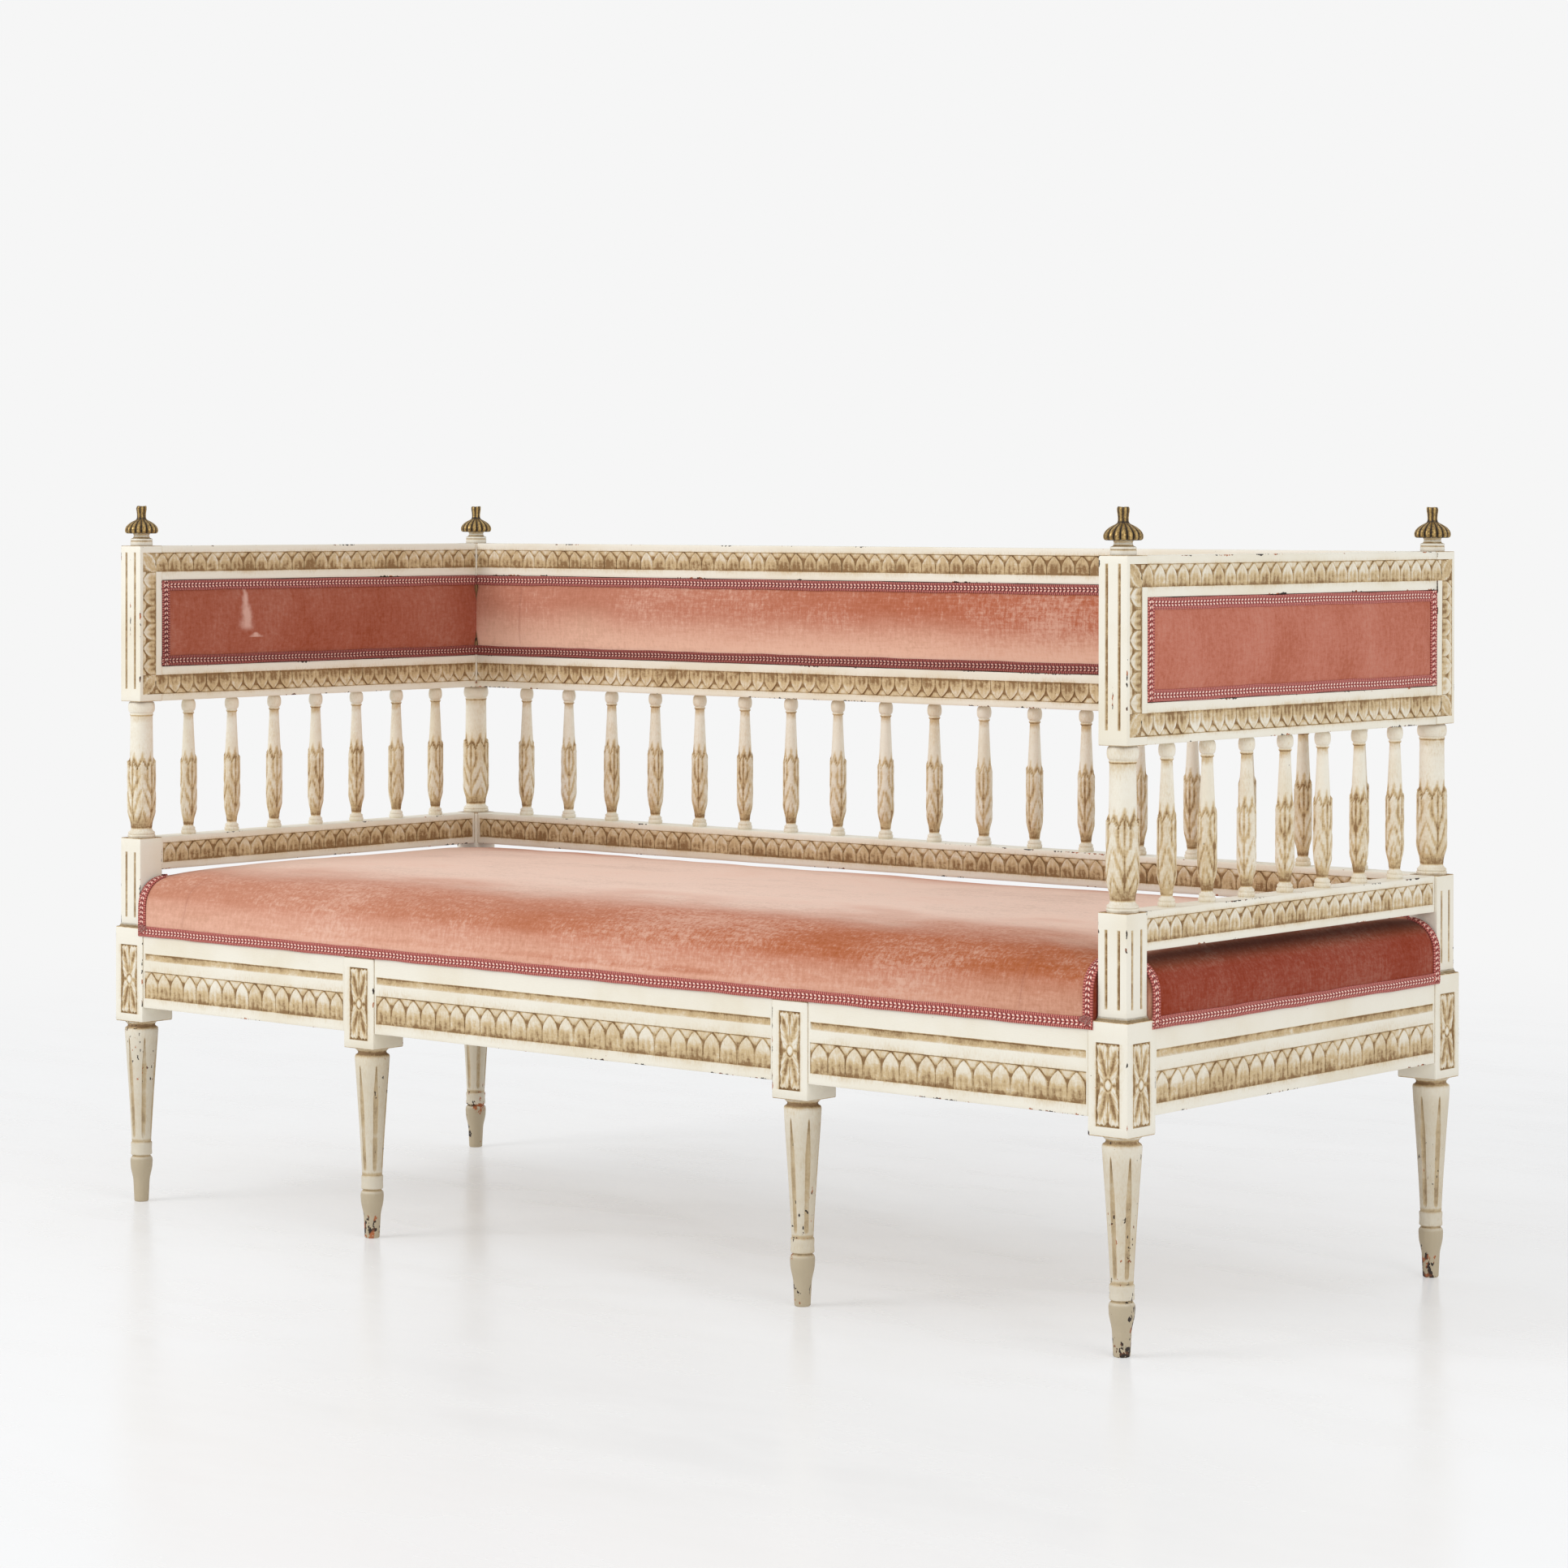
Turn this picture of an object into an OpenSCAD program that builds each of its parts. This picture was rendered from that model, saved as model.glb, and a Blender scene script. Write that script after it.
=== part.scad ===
// Painted sofa with turned legs, spindle galleries and upholstered panels.
// Millimetres, +Z up, X along the length, the front faces -Y.
// The origin is on the floor under the middle of the sofa.

/* [Overall] */
// Length over the corner blocks
length = 1710; // [1560:5:1900]
// Depth over the corner blocks
depth = 708; // [640:2:800]

/* [Legs and blocks] */
// Height of the turned legs, from the floor to the blocks
leg_h = 250; // [210:1:290]
// Width of the square blocks above the legs
block_w = 55; // [52:1:60]
// Reach of the blocks below the seat rails
block_drop = 21; // [14:1:28]
// Distance of the left middle leg from the centre
mid_leg_left = 376; // [330:1:420]
// Distance of the right middle leg from the centre
mid_leg_right = 360; // [330:1:420]
// Diameter of a leg under its collar
leg_top_d = 46; // [40:0.5:49]
// Diameter of a leg above its ring
leg_low_d = 26; // [22:0.5:30]
// Diameter of the ring round a leg
ring_d = 29; // [27:0.5:34]
// Height of the ring round a leg
ring_h = 18; // [12:0.5:22]
// Diameter of the bulb under the ring
bulb_d = 30.5; // [26:0.5:34]
// Height of the toe and the bulb together
toe_h = 63; // [50:1:72]
// Diameter of a toe at the floor
toe_d = 19.5; // [16:0.5:24]

/* [Posts] */
// Width of the square posts above the blocks
post_w = 40; // [38:0.5:43]
// Distance of a post's outer faces behind those of its block
post_setback = 5; // [3:0.5:7]
// Largest diameter of the turned columns
column_d = 38.4; // [34:0.2:41]
// Diameter of the column shafts under their caps
column_top_d = 31; // [27:0.5:33]

/* [Seat rails] */
// Height of the seat rails
seat_rail_h = 109; // [100:1:120]
// Thickness of the seat rails
seat_rail_t = 30; // [27:0.5:33]
// Distance of the seat rails behind the faces of the blocks
rail_setback = 1.5; // [1.5:0.1:3]
// Height of the plain fillet under the leaf band of the seat rails
seat_fillet_h = 13.3; // [10:0.1:16]
// Height of the leaf band of the seat rails
seat_band_h = 36.7; // [32:0.1:40]
// Distance of the long groove above the leaf band
groove_gap = 15.8; // [12:0.1:18]
// Height of the long groove
groove_h = 7.9; // [5:0.1:9]
// Height of the two cross rails under the seat
cross_rail_h = 60; // [45:1:70]
// Thickness of the cross rails
cross_rail_t = 25; // [20:0.5:30]
// Distance of the cross rails below the top of the seat rails
cross_rail_drop = 25; // [15:1:35]
// Leg length of the corner braces along a rail
brace_w = 80; // [65:1:95]
// Height of the corner braces
brace_h = 28; // [22:1:34]
// Distance of the corner braces below the top of the seat rails
brace_drop = 17; // [12:1:22]

/* [Spindle galleries] */
// Free height between the seat rails and the lower rails
lower_gap = 77; // [74:1:95]
// Height of the lower rails
lower_rail_h = 45; // [40:0.5:50]
// Thickness of the lower rails
lower_rail_t = 34; // [28:0.5:36]
// Height of the leaf band of the lower rails
lower_band_h = 27.1; // [22:0.1:30]
// Height of the plain fillet under that band
lower_fillet_h = 9.7; // [7:0.1:10]
// Visible height of the spindles and the columns
spindle_h = 188; // [165:1:215]
// Largest diameter of the spindles
spindle_d = 23; // [20:0.5:26]
// Number of spindles in each arm
arm_spindles = 7; // [5:1:8]
// Number of spindles in the back
back_spindles = 18; // [14:1:20]
// Distance from a post to the axis of the nearest arm spindle
arm_end_gap = 66; // [50:1:75]
// Distance from a post to the axis of the nearest back spindle
back_end_gap = 85; // [60:1:100]

/* [Upper frames] */
// Height of the upper frames of the arms and the back
frame_h = 214; // [190:1:240]
// Height of each rail of the upper frames
frame_rail_h = 47.5; // [42:0.5:52]
// Thickness of the rails of the upper frames
frame_rail_t = 38; // [34:0.5:38]
// Height of the leaf band of the upper frames
frame_band_h = 26.5; // [22:0.1:30]
// Plain fillet between that band and the outer edge
frame_fillet_h = 9.5; // [7:0.1:12]
// Width of the leaf band on the side of a post
post_band_w = 23.8; // [20:0.1:26]
// Plain fillet between that band and the outer arris of the post
post_fillet_w = 5.3; // [4:0.1:7]
// Depth that every leaf band is sunk
band_sink = 1; // [0.5:0.1:1.5]
// Thickness of the boards behind the panel upholstery
board_t = 6; // [4:0.5:8]
// Depth of the grooves that hold the boards
groove_in = 5; // [3:0.5:6]

/* [Finials] */
// Diameter of the painted collar under a finial
collar_d = 30.5; // [26:0.5:36]
// Height of the painted collar with its neck
collar_h = 17; // [12:0.5:22]
// Diameter of the gilt cap
cap_d = 45.6; // [38:0.2:52]
// Height of the gilt cap's dome
cap_h = 20; // [15:0.5:24]
// Height of the stem on the cap
stem_h = 18; // [12:0.5:24]
// Diameter of the stem at its crown
stem_d = 14.8; // [11:0.2:17]

/* [Upholstery] */
// Height of the pad's edge above the seat rails
seat_edge_h = 68; // [58:1:70]
// Rise of the seat from its edge to its middle
seat_crown = 15; // [6:1:24]
// Width of the rolled edge of the seat, seen from above
roll_w = 42; // [30:1:55]
// Height of the rolled edge of the seat
roll_h = 38; // [25:1:48]
// Reach of the seat cover below the top of the seat rails
skirt_h = 11; // [8:0.5:18]
// Thickness of the velvet
velvet_t = 1.4; // [1:0.1:1.4]
// Distance of the seat from the posts that it goes round
notch_gap = 3; // [2:0.5:5]
// Width of the woven gimp
gimp_w = 14; // [10:0.5:16]
// Thickness of the gimp
gimp_t = 2; // [1.2:0.1:2.5]
// Rise of the panel pads above their edges
pad_crown = 6; // [3:0.5:9]
// Width of a webbing strap
strap_w = 50; // [40:1:60]
// Thickness of the webbing
strap_t = 1.5; // [1:0.1:2]
// Clear distance between two straps
strap_gap = 36; // [20:1:50]
// Thickness of the hessian over the webbing
hessian_t = 1; // [0.6:0.1:1.5]

/* [Joints] */
// Thickness of the tenons
tenon_t = 10; // [8:0.5:11]
// Length of the tenons of the seat rails
seat_tenon_len = 22; // [16:0.5:24]
// Shoulder above and below every tenon
shoulder = 8; // [6:0.5:10]
// Free space round every tenon, board and pin
fit = 0.15; // [0.05:0.05:0.25]
// Diameter of the wooden pegs
peg_d = 8; // [6:0.5:9]
// Diameter of the round tenons of the spindles
spigot_d = 10; // [8:0.5:12]
// Length of the round tenons of the spindles
spigot_len = 12; // [8:0.5:15]
// Diameter of the dowel under a finial
dowel_d = 8; // [6:0.5:8]
// Depth of that dowel in the post
dowel_len = 22; // [14:1:30]
// Shank diameter of the brace screws
screw_d = 4.5; // [3.5:0.5:5]
// Length of the brace screws
screw_len = 38; // [30:1:42]

/* [Hidden] */
$fn = 48;
EPS = 0.01;
CREAM = [0.93, 0.91, 0.84];
PINE = [0.82, 0.70, 0.50];
VELVET = [0.76, 0.44, 0.37];
GIMP = [0.70, 0.37, 0.40];
GILT = [0.52, 0.40, 0.20];
LINEN = [0.74, 0.66, 0.50];
HAIR = [0.32, 0.26, 0.20];
STEEL = [0.60, 0.60, 0.62];

// Heights of the main levels
rail_z = leg_h + block_drop;
seat_z = rail_z + seat_rail_h;
lower_z = seat_z + lower_gap;
gallery_z = lower_z + lower_rail_h;
frame_z = gallery_z + spindle_h;
top_z = frame_z + frame_h;

// Plan positions: a post's axis stands this far inside the block's outer faces
axis_in = post_w / 2 + post_setback;
post_x = length / 2 - axis_in;
post_y = depth / 2 - axis_in;
clear_x = length - 2 * (post_setback + post_w);
clear_y = depth - 2 * (post_setback + post_w);
block_in = block_w - axis_in;
rail_out = axis_in - rail_setback;
rail_in = rail_out - seat_rail_t;
rail_mid = rail_out - seat_rail_t / 2;
seat_len_x = length - 2 * block_w;
seat_len_y = depth - 2 * block_w;

// Tenons of the upper rails stop short of each other inside a back post
post_tenon_len = post_w / 2 - tenon_t / 2 - 1;
tongue_t = seat_rail_t * 0.4;
panel_h = frame_h - 2 * frame_rail_h;
panel_z = frame_z + frame_rail_h;
pad_gap = 0.3;
touch = 0.05;
gimp_rest = 1.2;
rosette_margin = 11;
rosette_top = 24;
pad_edge = frame_rail_t / 2 - board_t / 2 - gimp_rest;
flute_r = 2.2;
flute_out = 1;
leg_flute_r = 3;

// Seat upholstery
seat_base = seat_z + 2 * strap_t + hessian_t;
cover_x = length / 2 - rail_setback + velvet_t + 2 * touch;
cover_y = depth / 2 - rail_setback + velvet_t + 2 * touch;
cover_z = seat_z - skirt_h;
edge_z = seat_z + seat_edge_h;
notch_z = seat_z + pad_gap;

// Turned profiles: lists of [radius, height]

// A rounded bead between two heights, half an ellipse
function bead(z0, z1, r_in, r_out, steps = 6) =
    [for (i = [0:steps]) [r_in + (r_out - r_in) * sin(180 * i / steps),
        z0 + (z1 - z0) * (1 - cos(180 * i / steps)) / 2]];

// A soft S-shaped change of radius
function ease(z0, r0, z1, r1, steps = 5) =
    [for (i = [0:steps]) [r0 + (r1 - r0) * (1 - cos(180 * i / steps)) / 2,
        z0 + (z1 - z0) * i / steps]];

// A taper that opens towards its top
function taper(z0, r0, z1, r1, power, steps = 6) =
    [for (i = [0:steps]) [r0 + (r1 - r0) * pow(i / steps, power), z0 + (z1 - z0) * i / steps]];

module turned(profile) {
    last = profile[len(profile) - 1];
    rotate_extrude() polygon(concat([[0, profile[0][1]]], profile, [[0, last[1]]]));
}

// Leg, from the toe up to the block
module turned_leg() {
    ring_z = toe_h + 1;
    taper_z0 = ring_z + ring_h + 2;
    taper_z1 = leg_h - 11;
    profile = concat(
        [[toe_d / 2, 0]],
        ease(toe_h * 0.5, toe_d / 2 + 1.6, toe_h * 0.88, bulb_d / 2, 4),
        [[bulb_d / 2 - 1.5, toe_h - 1], [leg_low_d / 2 - 1, toe_h], [leg_low_d / 2 - 1, ring_z]],
        [[ring_d / 2 - 0.8, ring_z], [ring_d / 2, ring_z + 1], [ring_d / 2, ring_z + ring_h - 1]],
        [[ring_d / 2 - 0.8, ring_z + ring_h]],
        taper(taper_z0, leg_low_d / 2, taper_z1, leg_top_d / 2, 1.2),
        [[leg_top_d / 2 - 1, leg_h - 8.5], [leg_top_d / 2 - 4, leg_h - 6]],
        [[leg_top_d / 2 - 3.5, leg_h - 3], [leg_top_d / 2 - 1, leg_h], [leg_top_d / 2 - 1, leg_h + 1]]
    );
    flute_z0 = taper_z0 + 6;
    flute_z1 = taper_z1 - 14;
    slope = (leg_top_d - leg_low_d) / 2 / (taper_z1 - taper_z0);
    flute_r0 = leg_low_d / 2 + slope * (flute_z0 - taper_z0) + 0.8;
    run = flute_z1 - flute_z0;
    difference() {
        turned(profile);
        for (turn = [0:5])
            rotate([0, 0, 60 * turn + 30])
                translate([flute_r0, 0, flute_z0])
                    rotate([0, atan(slope), 0]) {
                        cylinder(h = run, r = leg_flute_r);
                        sphere(r = leg_flute_r);
                        translate([0, 0, run]) sphere(r = leg_flute_r);
                    }
    }
}

// Column between the lower part and the upper part of a post
module turned_column() {
    r = column_d / 2;
    profile = concat(
        [[r * 0.96, 0]],
        bead(1, 8, r * 0.93, r * 0.98),
        [[r * 0.88, 9.5], [r * 0.78, 12], [r * 0.74, 15]],
        ease(15.5, r * 0.76, spindle_h * 0.22, r * 0.98),
        [[r, spindle_h * 0.36], [r * 0.95, spindle_h * 0.57], [r * 0.88, spindle_h * 0.575]],
        [[column_top_d / 2, spindle_h - 20]],
        bead(spindle_h - 19, spindle_h - 15, column_top_d / 2, column_top_d / 2 + 1.2, 4),
        bead(spindle_h - 14, spindle_h - 1, column_top_d / 2 + 0.6, r * 0.94),
        [[r * 0.8, spindle_h]]
    );
    turned(profile);
}

// Spindle with its round tenons
module turned_spindle() {
    r = spindle_d / 2;
    profile = concat(
        [[spigot_d / 2, -spigot_len], [spigot_d / 2, 0]],
        bead(0, 6, r * 0.82, r * 0.88, 4),
        bead(6.2, 10, r * 0.74, r * 0.8, 4),
        [[r * 0.6, 11.5], [r * 0.6, 15]],
        ease(15.5, r * 0.62, spindle_h * 0.2, r * 0.98),
        [[r, spindle_h * 0.36], [r * 0.93, spindle_h * 0.57], [r * 0.81, spindle_h * 0.575]],
        [[r * 0.55, spindle_h - 20.5]],
        bead(spindle_h - 20, spindle_h - 16, r * 0.56, r * 0.64, 4),
        bead(spindle_h - 15.5, spindle_h - 0.5, r * 0.6, r * 0.82),
        [[spigot_d / 2, spindle_h], [spigot_d / 2, spindle_h + spigot_len]]
    );
    turned(profile);
}

// Placing

module flip(on_x, on_y) {
    if (on_x && on_y)
        mirror([1, 0, 0]) mirror([0, 1, 0]) children();
    else if (on_x)
        mirror([1, 0, 0]) children();
    else if (on_y)
        mirror([0, 1, 0]) children();
    else
        children();
}

// Local +X and +Y point outwards from the sofa, with the post's axis at the origin
module at_corner(side, end) {
    translate([side * post_x, end * post_y, 0])
        flip(side < 0, end < 0) children();
}

module at_middle_leg(x) {
    translate([x, -post_y, 0]) mirror([0, 1, 0]) children();
}

// A box given by its lowest and highest corners
module span(low, high) {
    translate(low) cube([high[0] - low[0], high[1] - low[1], high[2] - low[2]]);
}

// A stopped flute that stands upright at a face, with round ends
module stopped_flute(z0, z1) {
    translate([0, 0, z0]) cylinder(h = z1 - z0, r = flute_r);
    translate([0, 0, z0]) sphere(r = flute_r);
    translate([0, 0, z1]) sphere(r = flute_r);
}

// Two flutes on the face at local +Y
module flute_pair(z0, z1) {
    for (side = [-1, 1])
        translate([side * post_w * 0.22, post_w / 2 + flute_out, 0]) stopped_flute(z0, z1);
}

// Mortise for a rail that arrives along X at the face where x is lowest
module mortise_x(face_x, mid_y, z0, h, tenon_len) {
    span([face_x - 1, mid_y - tenon_t / 2 - fit, z0 + shoulder - fit],
        [face_x + tenon_len + fit, mid_y + tenon_t / 2 + fit, z0 + h - shoulder + fit]);
}

// The same for a rail that arrives along Y
module mortise_y(face_y, mid_x, z0, h, tenon_len) {
    span([mid_x - tenon_t / 2 - fit, face_y - 1, z0 + shoulder - fit],
        [mid_x + tenon_t / 2 + fit, face_y + tenon_len + fit, z0 + h - shoulder + fit]);
}

// Posts

module post_core() {
    turned_leg();
    span([-block_in, -block_in, leg_h], [axis_in, axis_in, seat_z]);
    half = post_w / 2;
    span([-half, -half, seat_z - 1], [half, half, gallery_z]);
    translate([0, 0, gallery_z - EPS]) turned_column();
    translate([0, 0, gallery_z]) cylinder(h = spindle_h, r = column_top_d / 2 - 3);
    span([-half, -half, frame_z - EPS], [half, half, top_z]);
}

// Sunk field of the carved rosette on an outer face of a block, at local +Y
module rosette_field(mid_x) {
    half = block_w / 2 - rosette_margin;
    span([mid_x - half, axis_in - band_sink, leg_h + rosette_margin],
        [mid_x + half, axis_in + 1, seat_z - rosette_top]);
}

module peg_hole_x(z) {
    translate([-block_in + seat_tenon_len / 2, -block_in - 1, z])
        rotate([-90, 0, 0]) cylinder(h = peg_reach() + 1, r = peg_d / 2 + fit);
}

module peg_hole_y(z) {
    translate([-block_in - 1, -block_in + seat_tenon_len / 2, z])
        rotate([0, 90, 0]) cylinder(h = peg_reach() + 1, r = peg_d / 2 + fit);
}

function peg_reach() = block_in + rail_mid + tenon_t / 2 + 3;
function peg_z_high() = rail_z + seat_rail_h * 0.68;
function peg_z_low() = rail_z + seat_rail_h * 0.32;

// Swaps local X and Y, so what is drawn for +Y lands on +X
module swap_xy() {
    mirror([1, -1, 0]) children();
}

module post(is_back) {
    difference() {
        post_core();
        mortise_x(-block_in, rail_mid, rail_z, seat_rail_h, seat_tenon_len);
        mortise_y(-block_in, rail_mid, rail_z, seat_rail_h, seat_tenon_len);
        peg_hole_x(peg_z_high());
        peg_hole_y(peg_z_low());
        mortise_y(-post_w / 2, 0, lower_z, lower_rail_h, post_tenon_len);
        mortise_y(-post_w / 2, 0, frame_z, frame_rail_h, post_tenon_len);
        mortise_y(-post_w / 2, 0, top_z - frame_rail_h, frame_rail_h, post_tenon_len);
        board_groove();
        if (is_back) {
            mortise_x(-post_w / 2, 0, lower_z, lower_rail_h, post_tenon_len);
            mortise_x(-post_w / 2, 0, frame_z, frame_rail_h, post_tenon_len);
            mortise_x(-post_w / 2, 0, top_z - frame_rail_h, frame_rail_h, post_tenon_len);
            swap_xy() board_groove();
            swap_xy() side_band(1);
        }
        translate([0, 0, top_z - dowel_len - 1]) cylinder(h = dowel_len + 2, r = dowel_d / 2 + fit);
        flute_pair(seat_z + 13, gallery_z - 19);
        swap_xy() flute_pair(seat_z + 13, gallery_z - 19);
        rosette_field(axis_in - block_w / 2);
        swap_xy() rosette_field(axis_in - block_w / 2);
        arm_bands(is_back);
        if (!is_back)
            flute_pair(frame_z + 17, top_z - 9);
    }
}

// Groove for the edge of an arm's board, in the face at local -Y
module board_groove() {
    span([-board_t / 2 - fit, -post_w / 2 - 1, panel_z - groove_in - fit],
        [board_t / 2 + fit, -post_w / 2 + groove_in + fit, panel_z + panel_h + groove_in + fit]);
}

// Bands beside the arm's panel: on the outer face, and on the inner face of a front post
module arm_bands(is_back) {
    side_band(1);
    if (!is_back)
        side_band(-1);
}

// Upright band at local +X or -X, close to the outer arris of the post, with the ends of the
// two level bands of the rails that run into it
module side_band(way) {
    half = post_w / 2;
    low_x = way > 0 ? half - band_sink : -half - 1;
    high_x = way > 0 ? half + 1 : -half + band_sink;
    outer_y = half - post_fillet_w;
    low_z = frame_z + frame_fillet_h;
    high_z = top_z - frame_fillet_h;
    span([low_x, outer_y - post_band_w, low_z], [high_x, outer_y, high_z]);
    span([low_x, -half - 1, low_z], [high_x, outer_y, low_z + frame_band_h]);
    span([low_x, -half - 1, high_z - frame_band_h], [high_x, outer_y, high_z]);
}

// Turned leg with a block that is slotted over the front seat rail
module middle_leg() {
    half = block_w / 2;
    difference() {
        union() {
            turned_leg();
            span([-half, -block_in, leg_h], [half, axis_in, seat_z]);
        }
        span([-half - 1, rail_mid - tongue_t / 2 - fit, rail_z - fit],
            [half + 1, rail_mid + tongue_t / 2 + fit, seat_z + 1]);
        span([-half - 1, rail_out, cover_z - fit], [half + 1, axis_in + 1, seat_z + 1]);
        mortise_y(-block_in, 0, cross_z(), cross_rail_h, cross_tenon());
        bridle_pegs(fit, -block_in - 1, peg_reach() + 1);
        rosette_field(0);
    }
}

function cross_z() = seat_z - cross_rail_drop - cross_rail_h;
function cross_tenon() = seat_rail_t * 0.4;

// The two pegs through the slotted joint of a middle leg, grown for their holes
module bridle_pegs(grow, y, run) {
    for (side = [-1, 1])
        translate([side * block_w * 0.3, y, rail_z + seat_rail_h / 2])
            rotate([-90, 0, 0]) cylinder(h = run, r = peg_d / 2 + grow);
}

// Rails: drawn along X with the middle of their thickness on the X axis

module rail_blank(run, z0, h, t, tenon_len) {
    span([-run / 2, -t / 2, z0], [run / 2, t / 2, z0 + h]);
    span([-run / 2 - tenon_len, -tenon_t / 2, z0 + shoulder],
        [run / 2 + tenon_len, tenon_t / 2, z0 + h - shoulder]);
}

// Sunk field of a leaf band on the face at +Y or -Y
module band_field(run, t, way, z0, h) {
    low_y = way > 0 ? t / 2 - band_sink : -t / 2 - 1;
    span([-run / 2, low_y, z0], [run / 2, low_y + 1 + band_sink, z0 + h]);
}

// Seat rail; peg_z is the height of the pegs in its tenons
module seat_rail(run, peg_z) {
    t = seat_rail_t;
    groove_z = rail_z + seat_fillet_h + seat_band_h + groove_gap + groove_h / 2;
    difference() {
        rail_blank(run, rail_z, seat_rail_h, t, seat_tenon_len);
        band_field(run - 4, t, 1, rail_z + seat_fillet_h, seat_band_h);
        translate([-run / 2 + 3, t / 2 + groove_h * 0.2, groove_z])
            rotate([0, 90, 0]) cylinder(h = run - 6, r = groove_h / 2);
        for (side = [-1, 1]) {
            translate([side * (run / 2 + seat_tenon_len / 2), -t, peg_z])
                rotate([-90, 0, 0]) cylinder(h = 2 * t, r = peg_d / 2 + fit);
            translate([side * (run / 2 - brace_screw_in()), -t / 2 - 1, brace_mid_z()])
                rotate([-90, 0, 0]) cylinder(h = screw_bite() + 1 + fit, r = screw_d / 2 + fit);
        }
    }
}

// Distance from a block's inner face to the screw of a brace, along the rail
function brace_screw_in() = brace_w * 0.42;
function brace_mid_z() = seat_z - brace_drop - brace_h / 2;
function screw_bite() = seat_rail_t * 0.55;

// Places what is drawn for the +Y side at the front, the back or an arm
module at_front(y) {
    translate([0, -y, 0]) mirror([0, 1, 0]) children();
}

module at_back(y) {
    translate([0, y, 0]) children();
}

module at_side(side, x) {
    translate([side * x, 0, 0]) rotate([0, 0, -90 * side]) children();
}

module front_seat_rail() {
    color(CREAM) at_front(post_y + rail_mid) difference() {
        seat_rail(seat_len_x, peg_z_high());
        for (x = [-mid_leg_left, mid_leg_right]) {
            half = block_w / 2 + fit;
            span([x - half, tongue_t / 2, rail_z - 1], [x + half, seat_rail_t, seat_z + 1]);
            span([x - half, -seat_rail_t, rail_z - 1], [x + half, -tongue_t / 2, seat_z + 1]);
            translate([x, 0, 0]) bridle_pegs(fit, -seat_rail_t, 2 * seat_rail_t);
        }
    }
}

module back_seat_rail() {
    color(CREAM) at_back(post_y + rail_mid) difference() {
        seat_rail(seat_len_x, peg_z_high());
        for (x = [-mid_leg_left, mid_leg_right])
            mortise_y(-seat_rail_t / 2, x, cross_z(), cross_rail_h, cross_tenon());
    }
}

module side_seat_rail(side) {
    color(CREAM) at_side(side, post_x + rail_mid) seat_rail(seat_len_y, peg_z_low());
}

// Cross rail from the block of a middle leg to the back seat rail
module cross_rail(x) {
    y0 = -post_y + block_in;
    y1 = post_y + rail_in;
    half = cross_rail_t / 2;
    color(PINE) {
        span([x - half, y0, cross_z()], [x + half, y1, cross_z() + cross_rail_h]);
        span([x - tenon_t / 2, y0 - cross_tenon(), cross_z() + shoulder],
            [x + tenon_t / 2, y1 + cross_tenon(), cross_z() + cross_rail_h - shoulder]);
    }
}

// Corner brace behind a block, between two seat rails
module corner_brace() {
    near = -block_in - fit;
    far = -block_in - brace_w;
    color(PINE) difference() {
        translate([0, 0, brace_mid_z() - brace_h / 2]) linear_extrude(height = brace_h)
            polygon([[near, rail_in], [far, rail_in], [rail_in, far], [rail_in, near], [near, near]]);
        for (turn = [0, 1])
            at_screw(turn) {
                translate([0, 0, -brace_w]) cylinder(h = brace_w, r = screw_d + 0.6);
                translate([0, 0, -1]) cylinder(h = screw_len, r = screw_d / 2 + fit);
            }
    }
}

// The two screws of a brace: +Z runs along the screw, with the underside of its head at the origin
module at_screw(turn) {
    x = -block_in - brace_screw_in();
    y = rail_in - (screw_len - screw_bite());
    if (turn == 1)
        swap_xy() translate([x, y, brace_mid_z()]) rotate([-90, 0, 0]) children();
    else
        translate([x, y, brace_mid_z()]) rotate([-90, 0, 0]) children();
}

// The two screws of one brace
module corner_screws() {
    head_h = screw_d * 0.55;
    for (turn = [0, 1])
        at_screw(turn) {
            cylinder(h = screw_len, r = screw_d / 2);
            difference() {
                translate([0, 0, -head_h]) cylinder(h = head_h + EPS, r = screw_d * 0.95);
                translate([-screw_d, -0.4, -head_h - 1]) cube([2 * screw_d, 0.8, 2]);
            }
        }
}

// Rows of spindles

function row_x(run, count, end_gap) =
    [for (i = [0:count - 1]) -run / 2 + end_gap + i * (run - 2 * end_gap) / (count - 1)];

module spindle_row(run, count, end_gap) {
    color(CREAM)
        for (x = row_x(run, count, end_gap))
            translate([x, 0, gallery_z]) turned_spindle();
}

module spigot_holes(run, count, end_gap, z0) {
    for (x = row_x(run, count, end_gap))
        translate([x, 0, z0]) cylinder(h = spigot_len + 1 + fit, r = spigot_d / 2 + fit);
}

module lower_rail(run, count, end_gap) {
    t = lower_rail_t;
    color(CREAM) difference() {
        rail_blank(run, lower_z, lower_rail_h, t, post_tenon_len);
        for (way = [-1, 1])
            band_field(run - 8, t, way, lower_z + lower_fillet_h, lower_band_h);
        spigot_holes(run, count, end_gap, gallery_z - spigot_len - fit);
    }
}

// Upper frames

module bottom_rail(run, count, end_gap) {
    t = frame_rail_t;
    color(CREAM) difference() {
        rail_blank(run, frame_z, frame_rail_h, t, post_tenon_len);
        for (way = [-1, 1])
            band_field(run + 2, t, way, frame_z + frame_fillet_h, frame_band_h);
        spigot_holes(run, count, end_gap, frame_z - 1);
        span([-run / 2 - 1, -board_t / 2 - fit, panel_z - groove_in - fit],
            [run / 2 + 1, board_t / 2 + fit, panel_z + 1]);
    }
}

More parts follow.
